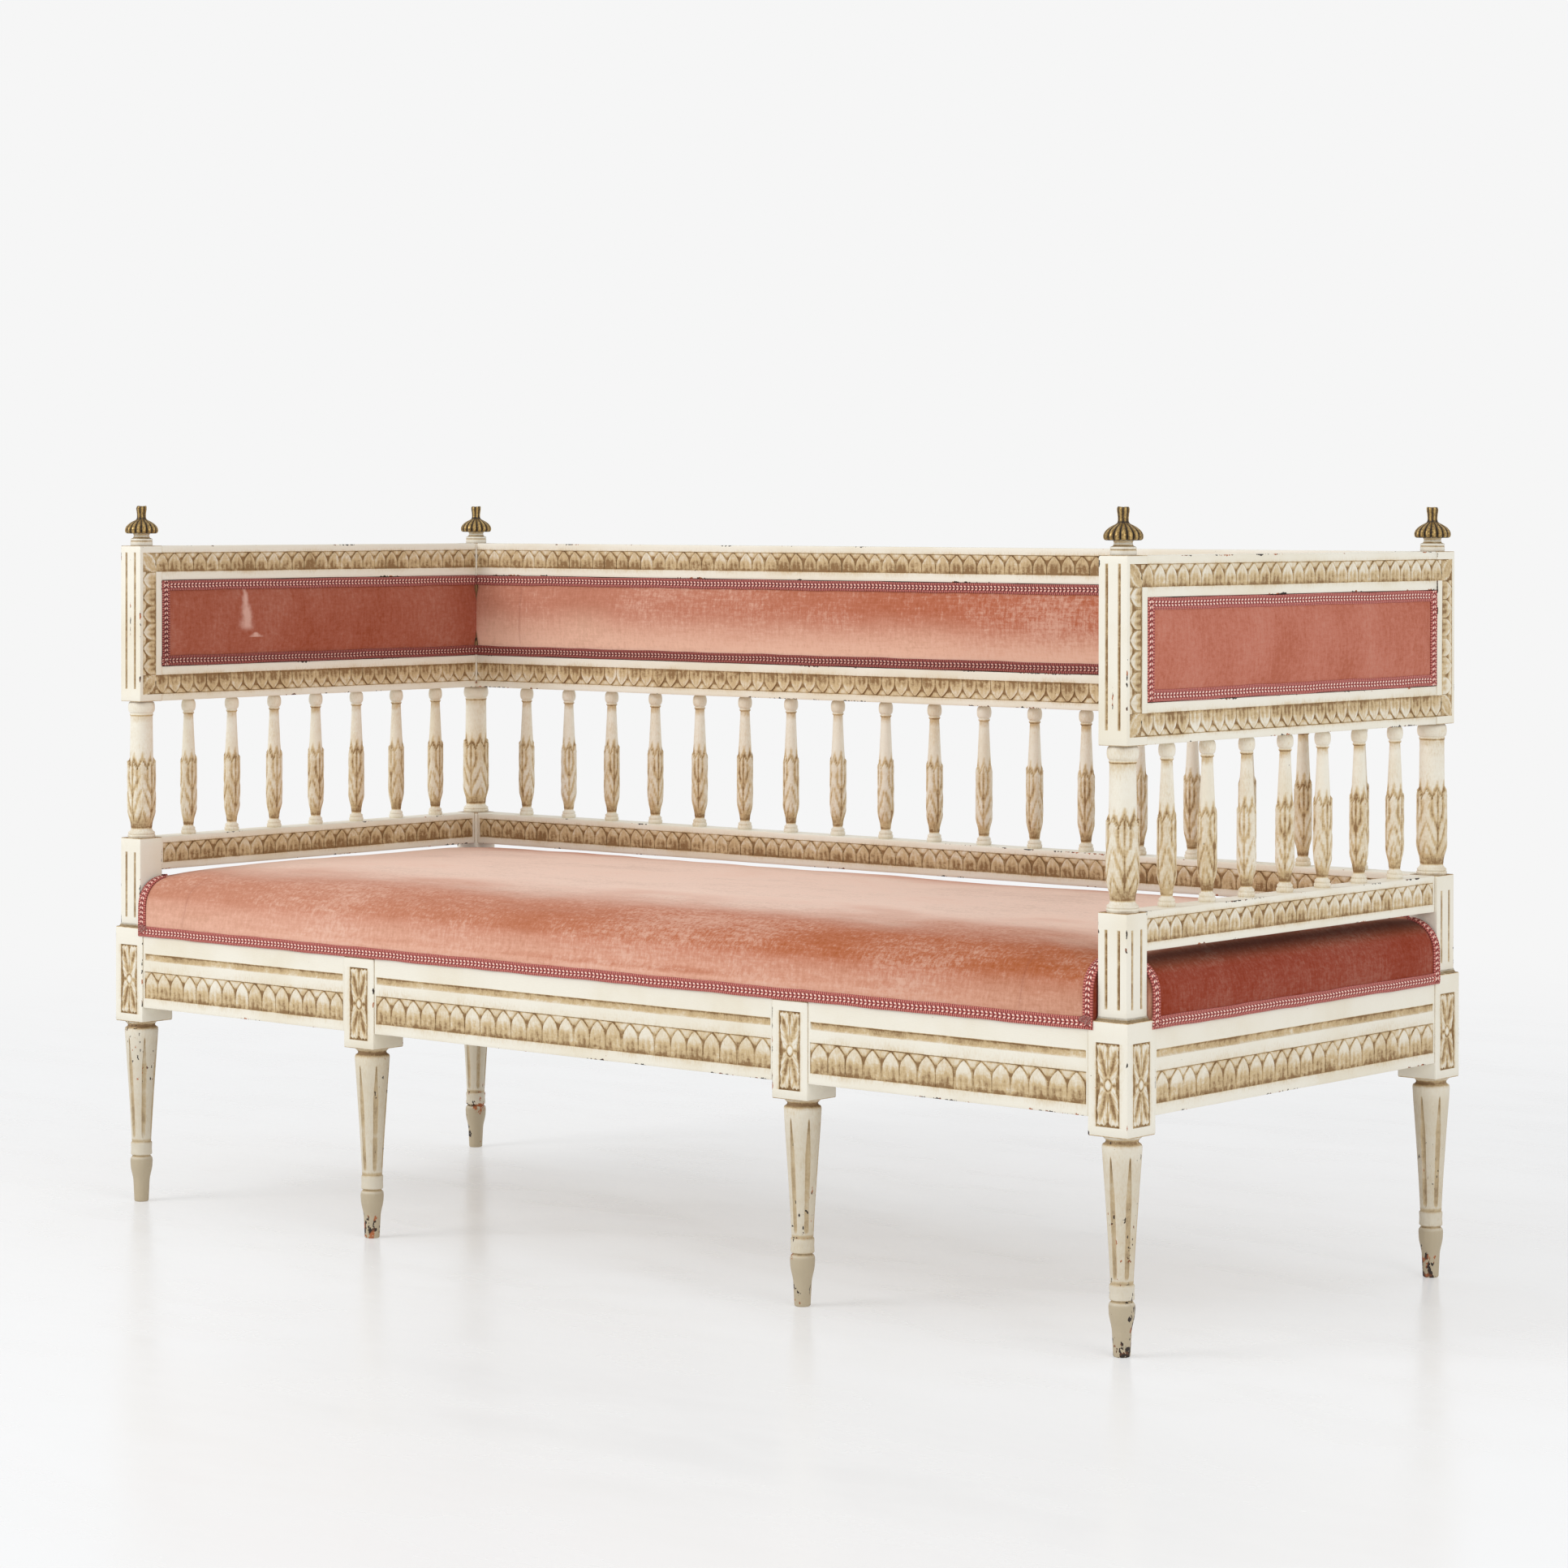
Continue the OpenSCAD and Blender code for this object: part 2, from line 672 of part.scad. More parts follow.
module top_rail(run) {
    t = frame_rail_t;
    color(CREAM) difference() {
        rail_blank(run, top_z - frame_rail_h, frame_rail_h, t, post_tenon_len);
        for (way = [-1, 1])
            band_field(run + 2, t, way, top_z - frame_fillet_h - frame_band_h, frame_band_h);
        span([-run / 2 - 1, -board_t / 2 - fit, top_z - frame_rail_h - 1],
            [run / 2 + 1, board_t / 2 + fit, top_z - frame_rail_h + groove_in + fit]);
    }
}

module panel_board(run) {
    color(PINE) span([-run / 2 - groove_in, -board_t / 2, panel_z - groove_in],
        [run / 2 + groove_in, board_t / 2, panel_z + panel_h + groove_in]);
}

// Lofted forms: rings of points with the same count, closed by a point at each end

function rect_ring(x0, x1, y0, y1, nx, ny) = concat(
    [for (i = [0:nx - 1]) [x0 + (x1 - x0) * i / nx, y0]],
    [for (i = [0:ny - 1]) [x1, y0 + (y1 - y0) * i / ny]],
    [for (i = [0:nx - 1]) [x1 - (x1 - x0) * i / nx, y1]],
    [for (i = [0:ny - 1]) [x0, y1 - (y1 - y0) * i / ny]]
);

module loft(rings, first, last) {
    n = len(rings[0]);
    count = len(rings);
    points = concat([for (ring = rings) each ring], [first, last]);
    walls = [for (k = [0:count - 2]) for (i = [0:n - 1]) let (j = (i + 1) % n) each [
        [k * n + i, (k + 1) * n + i, (k + 1) * n + j], [k * n + i, (k + 1) * n + j, k * n + j]]];
    floor_faces = [for (i = [0:n - 1]) [count * n, i, (i + 1) % n]];
    roof_faces = [for (i = [0:n - 1])
        [count * n + 1, (count - 1) * n + (i + 1) % n, (count - 1) * n + i]];
    polyhedron(points = points, faces = concat(walls, floor_faces, roof_faces));
}

// Seat form, grown by e, from height z0 up: upright sides, rolled edges and a crowned top
function roll_steps() = [for (i = [0:4]) 90 * i / 4];
function crown_insets() = [for (share = [0.2, 0.45, 0.75]) roll_w + share * (cover_y - roll_w)];

function crown_rise(x, y) = seat_crown
    * (1 - pow(min(1, abs(x) / (cover_x - roll_w)), 6))
    * (1 - pow(min(1, abs(y) / (cover_y - roll_w)), 2));

function seat_ring(inset, z, crowned) = [
    for (p = rect_ring(-cover_x + inset, cover_x - inset, -cover_y + inset, cover_y - inset, 16, 6))
        [p[0], p[1], z + (crowned ? crown_rise(p[0], p[1]) : 0)]];

module seat_form(e, z0) {
    sides = [seat_ring(-e, z0, false)];
    roll = [for (a = roll_steps())
        seat_ring(roll_w - (roll_w + e) * cos(a), edge_z - roll_h + (roll_h + e) * sin(a), false)];
    crown = [for (inset = crown_insets()) seat_ring(inset, edge_z + e, true)];
    loft(concat(sides, roll, crown), [0, 0, z0], [0, 0, edge_z + e + seat_crown]);
}

// Square room round each post, grown inwards, from height z0 up
module notches(grow, z0) {
    reach = post_w / 2 + notch_gap + grow;
    for (side = [-1, 1], end = [-1, 1])
        at_corner(side, end)
            span([-reach, -reach, z0], [axis_in + 20, axis_in + 20, edge_z + 60]);
}

// Room for the corner blocks, up to their tops
module block_room() {
    reach = block_in + pad_gap;
    for (side = [-1, 1], end = [-1, 1])
        at_corner(side, end)
            span([-reach, -reach, cover_z - 20], [axis_in + 20, axis_in + 20, notch_z + EPS]);
}

module seat_cover() {
    color(VELVET) difference() {
        seat_form(0, cover_z);
        notches(0, notch_z);
        block_room();
        difference() {
            seat_form(-velvet_t, cover_z - 1);
            notches(velvet_t, notch_z);
        }
    }
}

module seat_stuffing() {
    color(HAIR) difference() {
        seat_form(-velvet_t - pad_gap, seat_base + touch);
        notches(velvet_t + pad_gap, seat_base - 1);
    }
}

module seat_gimp() {
    color(GIMP) difference() {
        intersection() {
            difference() {
                seat_form(gimp_t, cover_z);
                seat_form(touch, cover_z - 1);
            }
            union() {
                span([-length, -depth, cover_z - 2], [length, depth, cover_z + gimp_w]);
                notches(gimp_w, cover_z + gimp_w - 1);
            }
        }
        notches(0, notch_z);
        block_room();
    }
}

module seat_webbing() {
    step = strap_w + strap_gap;
    room = strap_gap - 8;
    count_y = floor((seat_len_y + room) / step);
    count_x = floor((seat_len_x + room) / step);
    end_x = length / 2 - rail_setback - 6;
    end_y = depth / 2 - rail_setback - 6;
    color(LINEN) {
        for (i = [0:count_y - 1]) {
            y = (i - (count_y - 1) / 2) * step;
            span([-end_x, y - strap_w / 2, seat_z], [end_x, y + strap_w / 2, seat_z + strap_t]);
        }
        for (i = [0:count_x - 1]) {
            x = (i - (count_x - 1) / 2) * step;
            span([x - strap_w / 2, -end_y, seat_z + strap_t],
                [x + strap_w / 2, end_y, seat_z + 2 * strap_t]);
        }
    }
}

module seat_hessian() {
    end_x = length / 2 - rail_setback - 4;
    end_y = depth / 2 - rail_setback - 4;
    color(LINEN) difference() {
        span([-end_x, -end_y, seat_z + 2 * strap_t], [end_x, end_y, seat_base]);
        for (side = [-1, 1], end = [-1, 1])
            at_corner(side, end)
                span([-block_in - 1, -block_in - 1, seat_z], [axis_in + 1, axis_in + 1, seat_base + 1]);
    }
}

// Panel pads: drawn along X, with their back at local y = 0 and the velvet towards +Y.
// An end that meets the next panel in a corner has no margin for gimp.
module pad_form(run, low_margin, high_margin) {
    half = run / 2 - pad_gap;
    half_h = panel_h / 2 - pad_gap;
    middle = panel_z + panel_h / 2;
    plan = [[0, 0], [0, pad_edge], [gimp_w, pad_edge], [gimp_w + 2, pad_edge + pad_crown * 0.3],
        [gimp_w + 14, pad_edge + pad_crown * 0.75], [half_h * 0.8, pad_edge + pad_crown * 0.98]];
    rings = [for (step = plan) [
        for (p = rect_ring(-half + step[0] * low_margin, half - step[0] * high_margin,
            -half_h + step[0], half_h - step[0], 10, 3))
            [p[0], step[1], middle - p[1]]]];
    loft(rings, [0, 0, middle], [0, pad_edge + pad_crown, middle]);
}

module panel_pad(run, low_margin, high_margin) {
    color(VELVET) translate([0, board_t / 2 + touch, 0]) pad_form(run, low_margin, high_margin);
}

// Gimp round a panel's pad; low and high say which ends have an upright strip
module panel_gimp(run, low, high) {
    half = run / 2 - pad_gap;
    y0 = board_t / 2 + pad_edge + 2 * touch;
    z0 = panel_z + pad_gap;
    z1 = panel_z + panel_h - pad_gap;
    w = gimp_w - 2 * touch;
    color(GIMP) {
        span([-half, y0, z0], [half, y0 + gimp_t, z0 + w]);
        span([-half, y0, z1 - w], [half, y0 + gimp_t, z1]);
        if (low)
            span([-half, y0, z0], [-half + w, y0 + gimp_t, z1]);
        if (high)
            span([half - w, y0, z0], [half, y0 + gimp_t, z1]);
    }
}

// Finials

module finial_collar() {
    r = collar_d / 2;
    disc_h = collar_h * 0.58;
    profile = concat(
        [[r * 0.94, 0], [r, 1]],
        bead(disc_h * 0.55, disc_h, r * 0.88, r, 5),
        [[r * 0.72, disc_h + 1], [r * 0.66, collar_h - 3], [r * 0.74, collar_h]]
    );
    color(CREAM) translate([0, 0, top_z]) difference() {
        turned(profile);
        translate([0, 0, -1]) cylinder(h = collar_h + 2, r = dowel_d / 2 + fit);
    }
}

module finial_cap() {
    r = cap_d / 2;
    stem_low = stem_d * 0.44;
    profile = concat(
        [[dowel_d / 2, -collar_h - dowel_len], [dowel_d / 2, 0], [r * 0.8, 0], [r * 0.94, 1]],
        [[r, 4], [r * 0.97, 8], [r * 0.86, 12.5], [r * 0.66, cap_h * 0.83]],
        [[stem_low * 1.25, cap_h * 0.96], [stem_low, cap_h + 2], [stem_low, cap_h + stem_h * 0.45]],
        [[stem_d / 2, cap_h + stem_h * 0.62], [stem_d / 2 * 0.94, cap_h + stem_h * 0.8]],
        [[stem_d / 2 * 1.04, cap_h + stem_h - 1], [stem_d / 2 * 0.7, cap_h + stem_h]]
    );
    color(GILT) translate([0, 0, top_z + collar_h]) turned(profile);
}

module joint_pegs() {
    reach = peg_reach() - 0.5;
    color(PINE) {
        for (side = [-1, 1], end = [-1, 1])
            at_corner(side, end) {
                translate([seat_tenon_len / 2 - block_in, -block_in, peg_z_high()])
                    rotate([-90, 0, 0]) cylinder(h = reach, r = peg_d / 2);
                translate([-block_in, seat_tenon_len / 2 - block_in, peg_z_low()])
                    rotate([0, 90, 0]) cylinder(h = reach, r = peg_d / 2);
            }
        for (x = [-mid_leg_left, mid_leg_right])
            at_middle_leg(x) bridle_pegs(0, -block_in, reach);
    }
}

module brace_screws() {
    color(STEEL)
        for (side = [-1, 1], end = [-1, 1])
            at_corner(side, end) corner_screws();
}

// Places what is drawn for the +Y side at the inner face of an arm
module inner_arm(side) {
    translate([side * post_x, 0, 0]) rotate([0, 0, 90 * side]) children();
}

module corner_post(side, end) {
    color(CREAM) at_corner(side, end) post(end > 0);
}

module whole_middle_leg(x) {
    color(CREAM) at_middle_leg(x) middle_leg();
}

module arm_lower_rail(side) {
    at_side(side, post_x) lower_rail(clear_y, arm_spindles, arm_end_gap);
}

module arm_bottom_rail(side) {
    at_side(side, post_x) bottom_rail(clear_y, arm_spindles, arm_end_gap);
}

module arm_spindle_row(side) {
    at_side(side, post_x) spindle_row(clear_y, arm_spindles, arm_end_gap);
}

corner_post(-1, -1);  // post_front_left
corner_post(1, -1);  // post_front_right
corner_post(-1, 1);  // post_back_left
corner_post(1, 1);  // post_back_right
whole_middle_leg(-mid_leg_left);  // middle_leg_left
whole_middle_leg(mid_leg_right);  // middle_leg_right
front_seat_rail();
back_seat_rail();
side_seat_rail(-1);  // side_seat_rail_left
side_seat_rail(1);  // side_seat_rail_right
cross_rail(-mid_leg_left);  // cross_rail_left
cross_rail(mid_leg_right);  // cross_rail_right
at_corner(-1, -1) corner_brace();  // corner_brace_front_left
at_corner(1, -1) corner_brace();  // corner_brace_front_right
at_corner(-1, 1) corner_brace();  // corner_brace_back_left
at_corner(1, 1) corner_brace();  // corner_brace_back_right
arm_lower_rail(-1);  // lower_rail_left
arm_lower_rail(1);  // lower_rail_right
at_back(post_y) lower_rail(clear_x, back_spindles, back_end_gap);  // lower_rail_back
arm_spindle_row(-1);  // spindles_left
arm_spindle_row(1);  // spindles_right
at_back(post_y) spindle_row(clear_x, back_spindles, back_end_gap);  // spindles_back
arm_bottom_rail(-1);  // arm_bottom_rail_left
arm_bottom_rail(1);  // arm_bottom_rail_right
at_back(post_y) bottom_rail(clear_x, back_spindles, back_end_gap);  // back_bottom_rail
at_side(-1, post_x) top_rail(clear_y);  // arm_top_rail_left
at_side(1, post_x) top_rail(clear_y);  // arm_top_rail_right
at_back(post_y) top_rail(clear_x);  // back_top_rail
at_side(-1, post_x) panel_board(clear_y);  // panel_board_left
at_side(1, post_x) panel_board(clear_y);  // panel_board_right
at_back(post_y) panel_board(clear_x);  // panel_board_back
inner_arm(-1) panel_pad(clear_y, 0.25, 1);  // pad_inner_left
at_side(-1, post_x) panel_pad(clear_y, 1, 1);  // pad_outer_left
inner_arm(1) panel_pad(clear_y, 1, 0.25);  // pad_inner_right
at_side(1, post_x) panel_pad(clear_y, 1, 1);  // pad_outer_right
at_front(-post_y) panel_pad(clear_x, 0.25, 0.25);  // pad_back_front
at_back(post_y) panel_pad(clear_x, 1, 1);  // pad_back_rear
inner_arm(-1) panel_gimp(clear_y, false, true);  // gimp_inner_left
at_side(-1, post_x) panel_gimp(clear_y, true, true);  // gimp_outer_left
inner_arm(1) panel_gimp(clear_y, true, false);  // gimp_inner_right
at_side(1, post_x) panel_gimp(clear_y, true, true);  // gimp_outer_right
at_front(-post_y) panel_gimp(clear_x, false, false);  // gimp_back_front
at_back(post_y) panel_gimp(clear_x, true, true);  // gimp_back_rear
at_corner(-1, -1) finial_collar();  // finial_collar_front_left
at_corner(1, -1) finial_collar();  // finial_collar_front_right
at_corner(-1, 1) finial_collar();  // finial_collar_back_left
at_corner(1, 1) finial_collar();  // finial_collar_back_right
at_corner(-1, -1) finial_cap();  // finial_cap_front_left
at_corner(1, -1) finial_cap();  // finial_cap_front_right
at_corner(-1, 1) finial_cap();  // finial_cap_back_left
at_corner(1, 1) finial_cap();  // finial_cap_back_right
seat_webbing();
seat_hessian();
seat_stuffing();
seat_cover();
seat_gimp();
joint_pegs();
brace_screws();
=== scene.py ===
"""Looks of the painted sofa: carved and turned wood, velvet, gimp and gilded finials.

Lengths in this file are millimetres, and they become metres when a mesh is made. X runs along
the sofa, Y from front to back and Z up, as in the CAD frame.
"""

import logging
import math
from collections.abc import Callable, Sequence
from dataclasses import dataclass, field, replace
from enum import Enum
from functools import reduce

import bpy
import numpy as np
from mathutils import Matrix


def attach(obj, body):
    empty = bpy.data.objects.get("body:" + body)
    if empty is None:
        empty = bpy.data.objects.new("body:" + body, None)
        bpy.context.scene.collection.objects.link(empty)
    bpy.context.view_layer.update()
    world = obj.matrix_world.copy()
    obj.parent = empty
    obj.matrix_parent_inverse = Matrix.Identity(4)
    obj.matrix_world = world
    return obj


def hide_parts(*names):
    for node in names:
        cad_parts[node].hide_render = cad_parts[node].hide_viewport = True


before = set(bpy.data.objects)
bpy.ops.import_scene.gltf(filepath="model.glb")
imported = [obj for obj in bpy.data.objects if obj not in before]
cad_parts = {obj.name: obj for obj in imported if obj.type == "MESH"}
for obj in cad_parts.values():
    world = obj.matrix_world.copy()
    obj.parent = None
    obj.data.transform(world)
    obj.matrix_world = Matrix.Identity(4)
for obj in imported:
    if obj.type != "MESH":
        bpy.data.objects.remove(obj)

LOG = logging.getLogger("sofa")
Array = np.ndarray
Vec = tuple[float, float, float]
Colour = tuple[float, float, float]

MM = 0.001
X, Y, Z = (1.0, 0.0, 0.0), (0.0, 1.0, 0.0), (0.0, 0.0, 1.0)
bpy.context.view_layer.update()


@dataclass(frozen=True)
class Sizes:
    """Main sizes of the sofa, the same as in the CAD source."""

    length: float = 1710.0
    depth: float = 708.0
    leg_h: float = 250.0
    block_w: float = 55.0
    mid_left: float = -376.0
    mid_right: float = 360.0
    post_w: float = 40.0
    axis_in: float = 25.0
    rail_z: float = 271.0
    seat_z: float = 380.0
    lower_z: float = 457.0
    gallery_z: float = 502.0
    frame_z: float = 690.0
    top_z: float = 904.0
    rail_out: float = 23.5
    frame_rail_h: float = 47.5
    cover_z: float = 369.0
    notch: float = 23.0
    edge_z: float = 448.0
    seat_base: float = 384.0

    @property
    def post_x(self) -> float:
        """Distance of the post axes from the middle, along X."""
        return self.length / 2 - self.axis_in

    @property
    def post_y(self) -> float:
        """Distance of the post axes from the middle, along Y."""
        return self.depth / 2 - self.axis_in

    @property
    def clear_x(self) -> float:
        """Clear span between two posts along X."""
        return 2 * self.post_x - self.post_w

    @property
    def clear_y(self) -> float:
        """Clear span between two posts along Y."""
        return 2 * self.post_y - self.post_w


S = Sizes()


@dataclass(frozen=True)
class Place:
    """A local frame in the sofa: where its origin is and where its three axes point."""

    origin: Vec
    across: Vec = X
    out: Vec = Y
    up: Vec = Z

    def put(self, points: Array) -> Array:
        """Turns local points into points of the sofa.

        Args:
            points: local points, with x, y, z in the last axis.

        Returns:
            Origin plus the three local axes weighted by x, y and z.
        """
        return self.turn(points) + np.array(self.origin)

    def turn(self, vector: Array | Vec) -> Array:
        """Turns local directions into directions of the sofa."""
        return np.asarray(vector, float) @ np.array([self.across, self.out, self.up], float)

    def within(self, points: Array) -> Array:
        """Turns points of the sofa into local points."""
        return (points - np.array(self.origin)) @ np.array([self.across, self.out, self.up], float).T

    def face(self, start: Array | Vec, along: Vec, tipward: Vec, out: Vec) -> "Place":
        """Frame of a face: x runs along it, y out of it and z towards the tips of its leaves."""
        turned = (tuple(self.turn(way)) for way in (along, out, tipward))
        return Place(tuple(self.put(start)), *turned)


def corner_name(side: int, end: int) -> str:
    """Corner of the sofa, as the CAD nodes name it; side is -1 left, end is -1 front."""
    return f"{'front' if end < 0 else 'back'}_{'left' if side < 0 else 'right'}"


def corner_place(side: int, end: int) -> Place:
    """Frame on a post axis whose x and y point outwards; side is -1 left, end is -1 front."""
    return Place((side * S.post_x, end * S.post_y, 0.0), (side, 0.0, 0.0), (0.0, end, 0.0))


def front_place(y: float) -> Place:
    """Frame along the front, y mm in front of the middle, whose y points to the front."""
    return Place((0.0, -y, 0.0), X, (0.0, -1.0, 0.0))


def back_place(y: float) -> Place:
    """Frame along the back, y mm behind the middle, whose y points to the back."""
    return Place((0.0, y, 0.0))


def side_place(side: int, x: float) -> Place:
    """Frame along an end of the sofa whose y points outwards; side is -1 left, 1 right."""
    return Place((side * x, 0.0, 0.0), (0.0, -side, 0.0), (side, 0.0, 0.0))


def inner_place(side: int) -> Place:
    """Frame along an arm whose y points into the sofa."""
    return Place((side * S.post_x, 0.0, 0.0), (0.0, side, 0.0), (-side, 0.0, 0.0))


def smooth(x: Array, low: float, high: float) -> Array:
    """Smooth step: 0 below low, 1 above high, and 3t^2 - 2t^3 between them."""
    t = np.clip((np.asarray(x, float) - low) / (high - low), 0.0, 1.0)
    return t * t * (3.0 - 2.0 * t)


def hump(x: Array, middle: float | Array = 0.0, half: float | Array = 1.0) -> Array:
    """Bell curve: e to minus the square of the distance from the middle over the half width."""
    return np.exp(-(((x - middle) / half) ** 2))


def waves(points: Array, seed: int, size: float, count: int = 7) -> Array:
    """Soft irregular surface: a mean of sines in seeded directions.

    Args:
        points: points with x, y, z in the last axis.
        seed: seed of the directions and phases.
        size: wavelength of the longest wave in mm.
        count: number of waves.

    Returns:
        One value per point, roughly from -1 to 1.
    """
    rng = np.random.default_rng(seed)
    ways = rng.normal(size=(count, 3))
    ways /= np.linalg.norm(ways, axis=1, keepdims=True)
    rates = 2 * np.pi / (size * rng.uniform(0.45, 1.0, count))
    turns = rng.uniform(0, 2 * np.pi, count)
    return np.sin((points @ ways.T) * rates + turns).sum(-1) / math.sqrt(count)


def line(*parts: Array | float) -> Array:
    """Points whose coordinates are the parts, each an array or one number for all."""
    return np.stack(np.broadcast_arrays(*parts), -1)


class Shell:
    """Gathers closed grid surfaces, with marks at their points, into the mesh of one piece."""

    MARKS = ("wash", "wear", "along", "across")

    def __init__(self) -> None:
        """Starts with no surface."""
        self.points: list[Array] = []
        self.faces: list[Array] = []
        self.marks: dict[str, list[Array]] = {name: [] for name in self.MARKS}
        self.count = 0

    def add(self, grid: Array, fans: bool = True, **marks: Array | float) -> None:
        """Adds one closed surface.

        The grid's rows are loops that close on themselves, and the first and last loops get a
        fan to their middle. Points that coincide become one, and the faces are turned so that
        the enclosed volume is positive.

        Args:
            grid: points, shaped (loops, points round, 3).
            fans: whether the first and last loop get fans; not where they lie in a line.
            marks: value of a named mark at each point, or one value for all.
        """
        rows, cols = grid.shape[:2]
        flat = grid.reshape(-1, 3)
        index = np.arange(rows * cols).reshape(rows, cols)
        values = {
            name: np.broadcast_to(marks.get(name, 0.0), (rows, cols)).reshape(-1)
            for name in self.MARKS
        }
        loops = np.hstack([index, index[:, :1]])
        faces = np.stack([loops[:-1, :-1], loops[:-1, 1:], loops[1:, 1:], loops[1:, :-1]], -1)
        faces = faces.reshape(-1, 4)
        if fans:
            first, last = rows * cols, rows * cols + 1
            flat = np.vstack([flat, grid[0].mean(0), grid[-1].mean(0)])
            for name, value in values.items():
                ends = [value[:cols].mean(), value[-cols:].mean()]
                values[name] = np.concatenate([value, ends])
            low, high = loops[0], loops[-1]
            bottom, top = line(low[1:], low[:-1], first, first), line(high[:-1], high[1:], last, last)
            faces = np.vstack([faces, bottom, top])
        spots = np.round(flat, 3)
        _, keep, merged = np.unique(spots, axis=0, return_index=True, return_inverse=True)
        faces = merged.reshape(-1)[faces]
        flat = flat[keep]
        a, b, c, d = (flat[faces[:, k]] for k in range(4))
        volume = (a * np.cross(b, c)).sum() + (a * np.cross(c, d)).sum()
        if volume < 0:
            faces = faces[:, ::-1]
        self.points.append(flat)
        self.faces.append(faces + self.count)
        for name, value in values.items():
            self.marks[name].append(value[keep])
        self.count += len(flat)

    def slab(
        self, face: Place, s: Array, height: Array, t: Array, wash: Array, depth: float, wear: float
    ) -> None:
        """Adds a carved slab with a flat back behind its ground.

        Args:
            face: frame whose x and z run along the face, and whose y points out of it.
            s: places along x.
            height: height over the ground, as a share of the depth.
            t: places along z.
            wash: wash mark.
            depth: depth of the ground.
            wear: wear mark.
        """
        behind = 0.7
        back = np.full((len(s), 2), -depth - behind)
        s, t, wash = (np.hstack([v, v[:, -1:], v[:, :1]]) for v in (s, t, wash))
        grid = face.put(line(s, np.hstack([(height - 1.0) * depth, back]), t))
        self.add(grid, wash=np.clip(wash, 0, 1), wear=wear)

    def polygons(self) -> list[list[int]]:
        """Quads and triangles of all surfaces, without faces that have no area."""
        faces = np.vstack(self.faces)
        same = faces == np.roll(faces, -1, axis=1)
        crossed = (faces[:, 0] == faces[:, 2]) | (faces[:, 1] == faces[:, 3])
        repeats = same.sum(1)
        quads = faces[(repeats == 0) & ~crossed]
        pick = (repeats == 1) & ~crossed
        order = (same[pick].argmax(1)[:, None] + np.arange(1, 4)) % 4
        tris = np.take_along_axis(faces[pick], order, axis=1)
        return quads.tolist() + tris.tolist()

    def mesh(self, name: str, sharp: float) -> bpy.types.Mesh:
        """Makes the mesh, in metres, with its marks as point attributes.

        Args:
            name: name of the mesh.
            sharp: edges that turn more than this many degrees stay sharp.

        Returns:
            The new mesh.
        """
        mesh = bpy.data.meshes.new(name)
        mesh.from_pydata((np.vstack(self.points) * MM).tolist(), [], self.polygons())
        for mark, values in self.marks.items():
            set_mark(mesh, mark, np.concatenate(values))
        mesh.validate()
        mesh.shade_smooth()
        mesh.set_sharp_from_angle(angle=math.radians(sharp))
        return mesh


def set_mark(mesh: bpy.types.Mesh, mark: str, values: Array) -> None:
    """Stores a mark at the points of a mesh, unless it is 0 at all of them."""
    if values.any():
        layer = mesh.attributes.new(mark, "FLOAT", "POINT")
        layer.data.foreach_set("value", values.astype(np.float32))


def link(name: str, data: bpy.types.ID) -> bpy.types.Object:
    """Puts a new object with its data into the scene."""
    made = bpy.data.objects.new(name, data)
    bpy.context.scene.collection.objects.link(made)
    return made


def publish(
    name: str, shell: Shell, material: bpy.types.Material, nodes: Sequence[str],
    sharp: float = 35.0,
) -> bpy.types.Object:
    """Makes a piece of the sofa's one body from its surfaces.

    Args:
        name: name of the piece.
        shell: its surfaces, already in place.
        material: its finish.
        nodes: CAD nodes that the piece stands for.
        sharp: edges that turn more than this many degrees stay sharp.

    Returns:
        The new object.
    """
    mesh = shell.mesh(name, sharp)
    mesh.materials.append(material)
    piece = link(name, mesh)
    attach(piece, "root")
    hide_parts(*nodes)
    LOG.info("%s: %d faces, stands for %s", name, len(mesh.polygons), ", ".join(nodes))
    return piece


def srgb(red: float, green: float, blue: float) -> Colour:
    """Linear colour of a display colour given from 0 to 255."""
    c = np.array([red, green, blue]) / 255
    lin = np.where(c <= 0.04045, c / 12.92, ((c + 0.055) / 1.055) ** 2.4)
    return tuple(float(v) for v in lin)


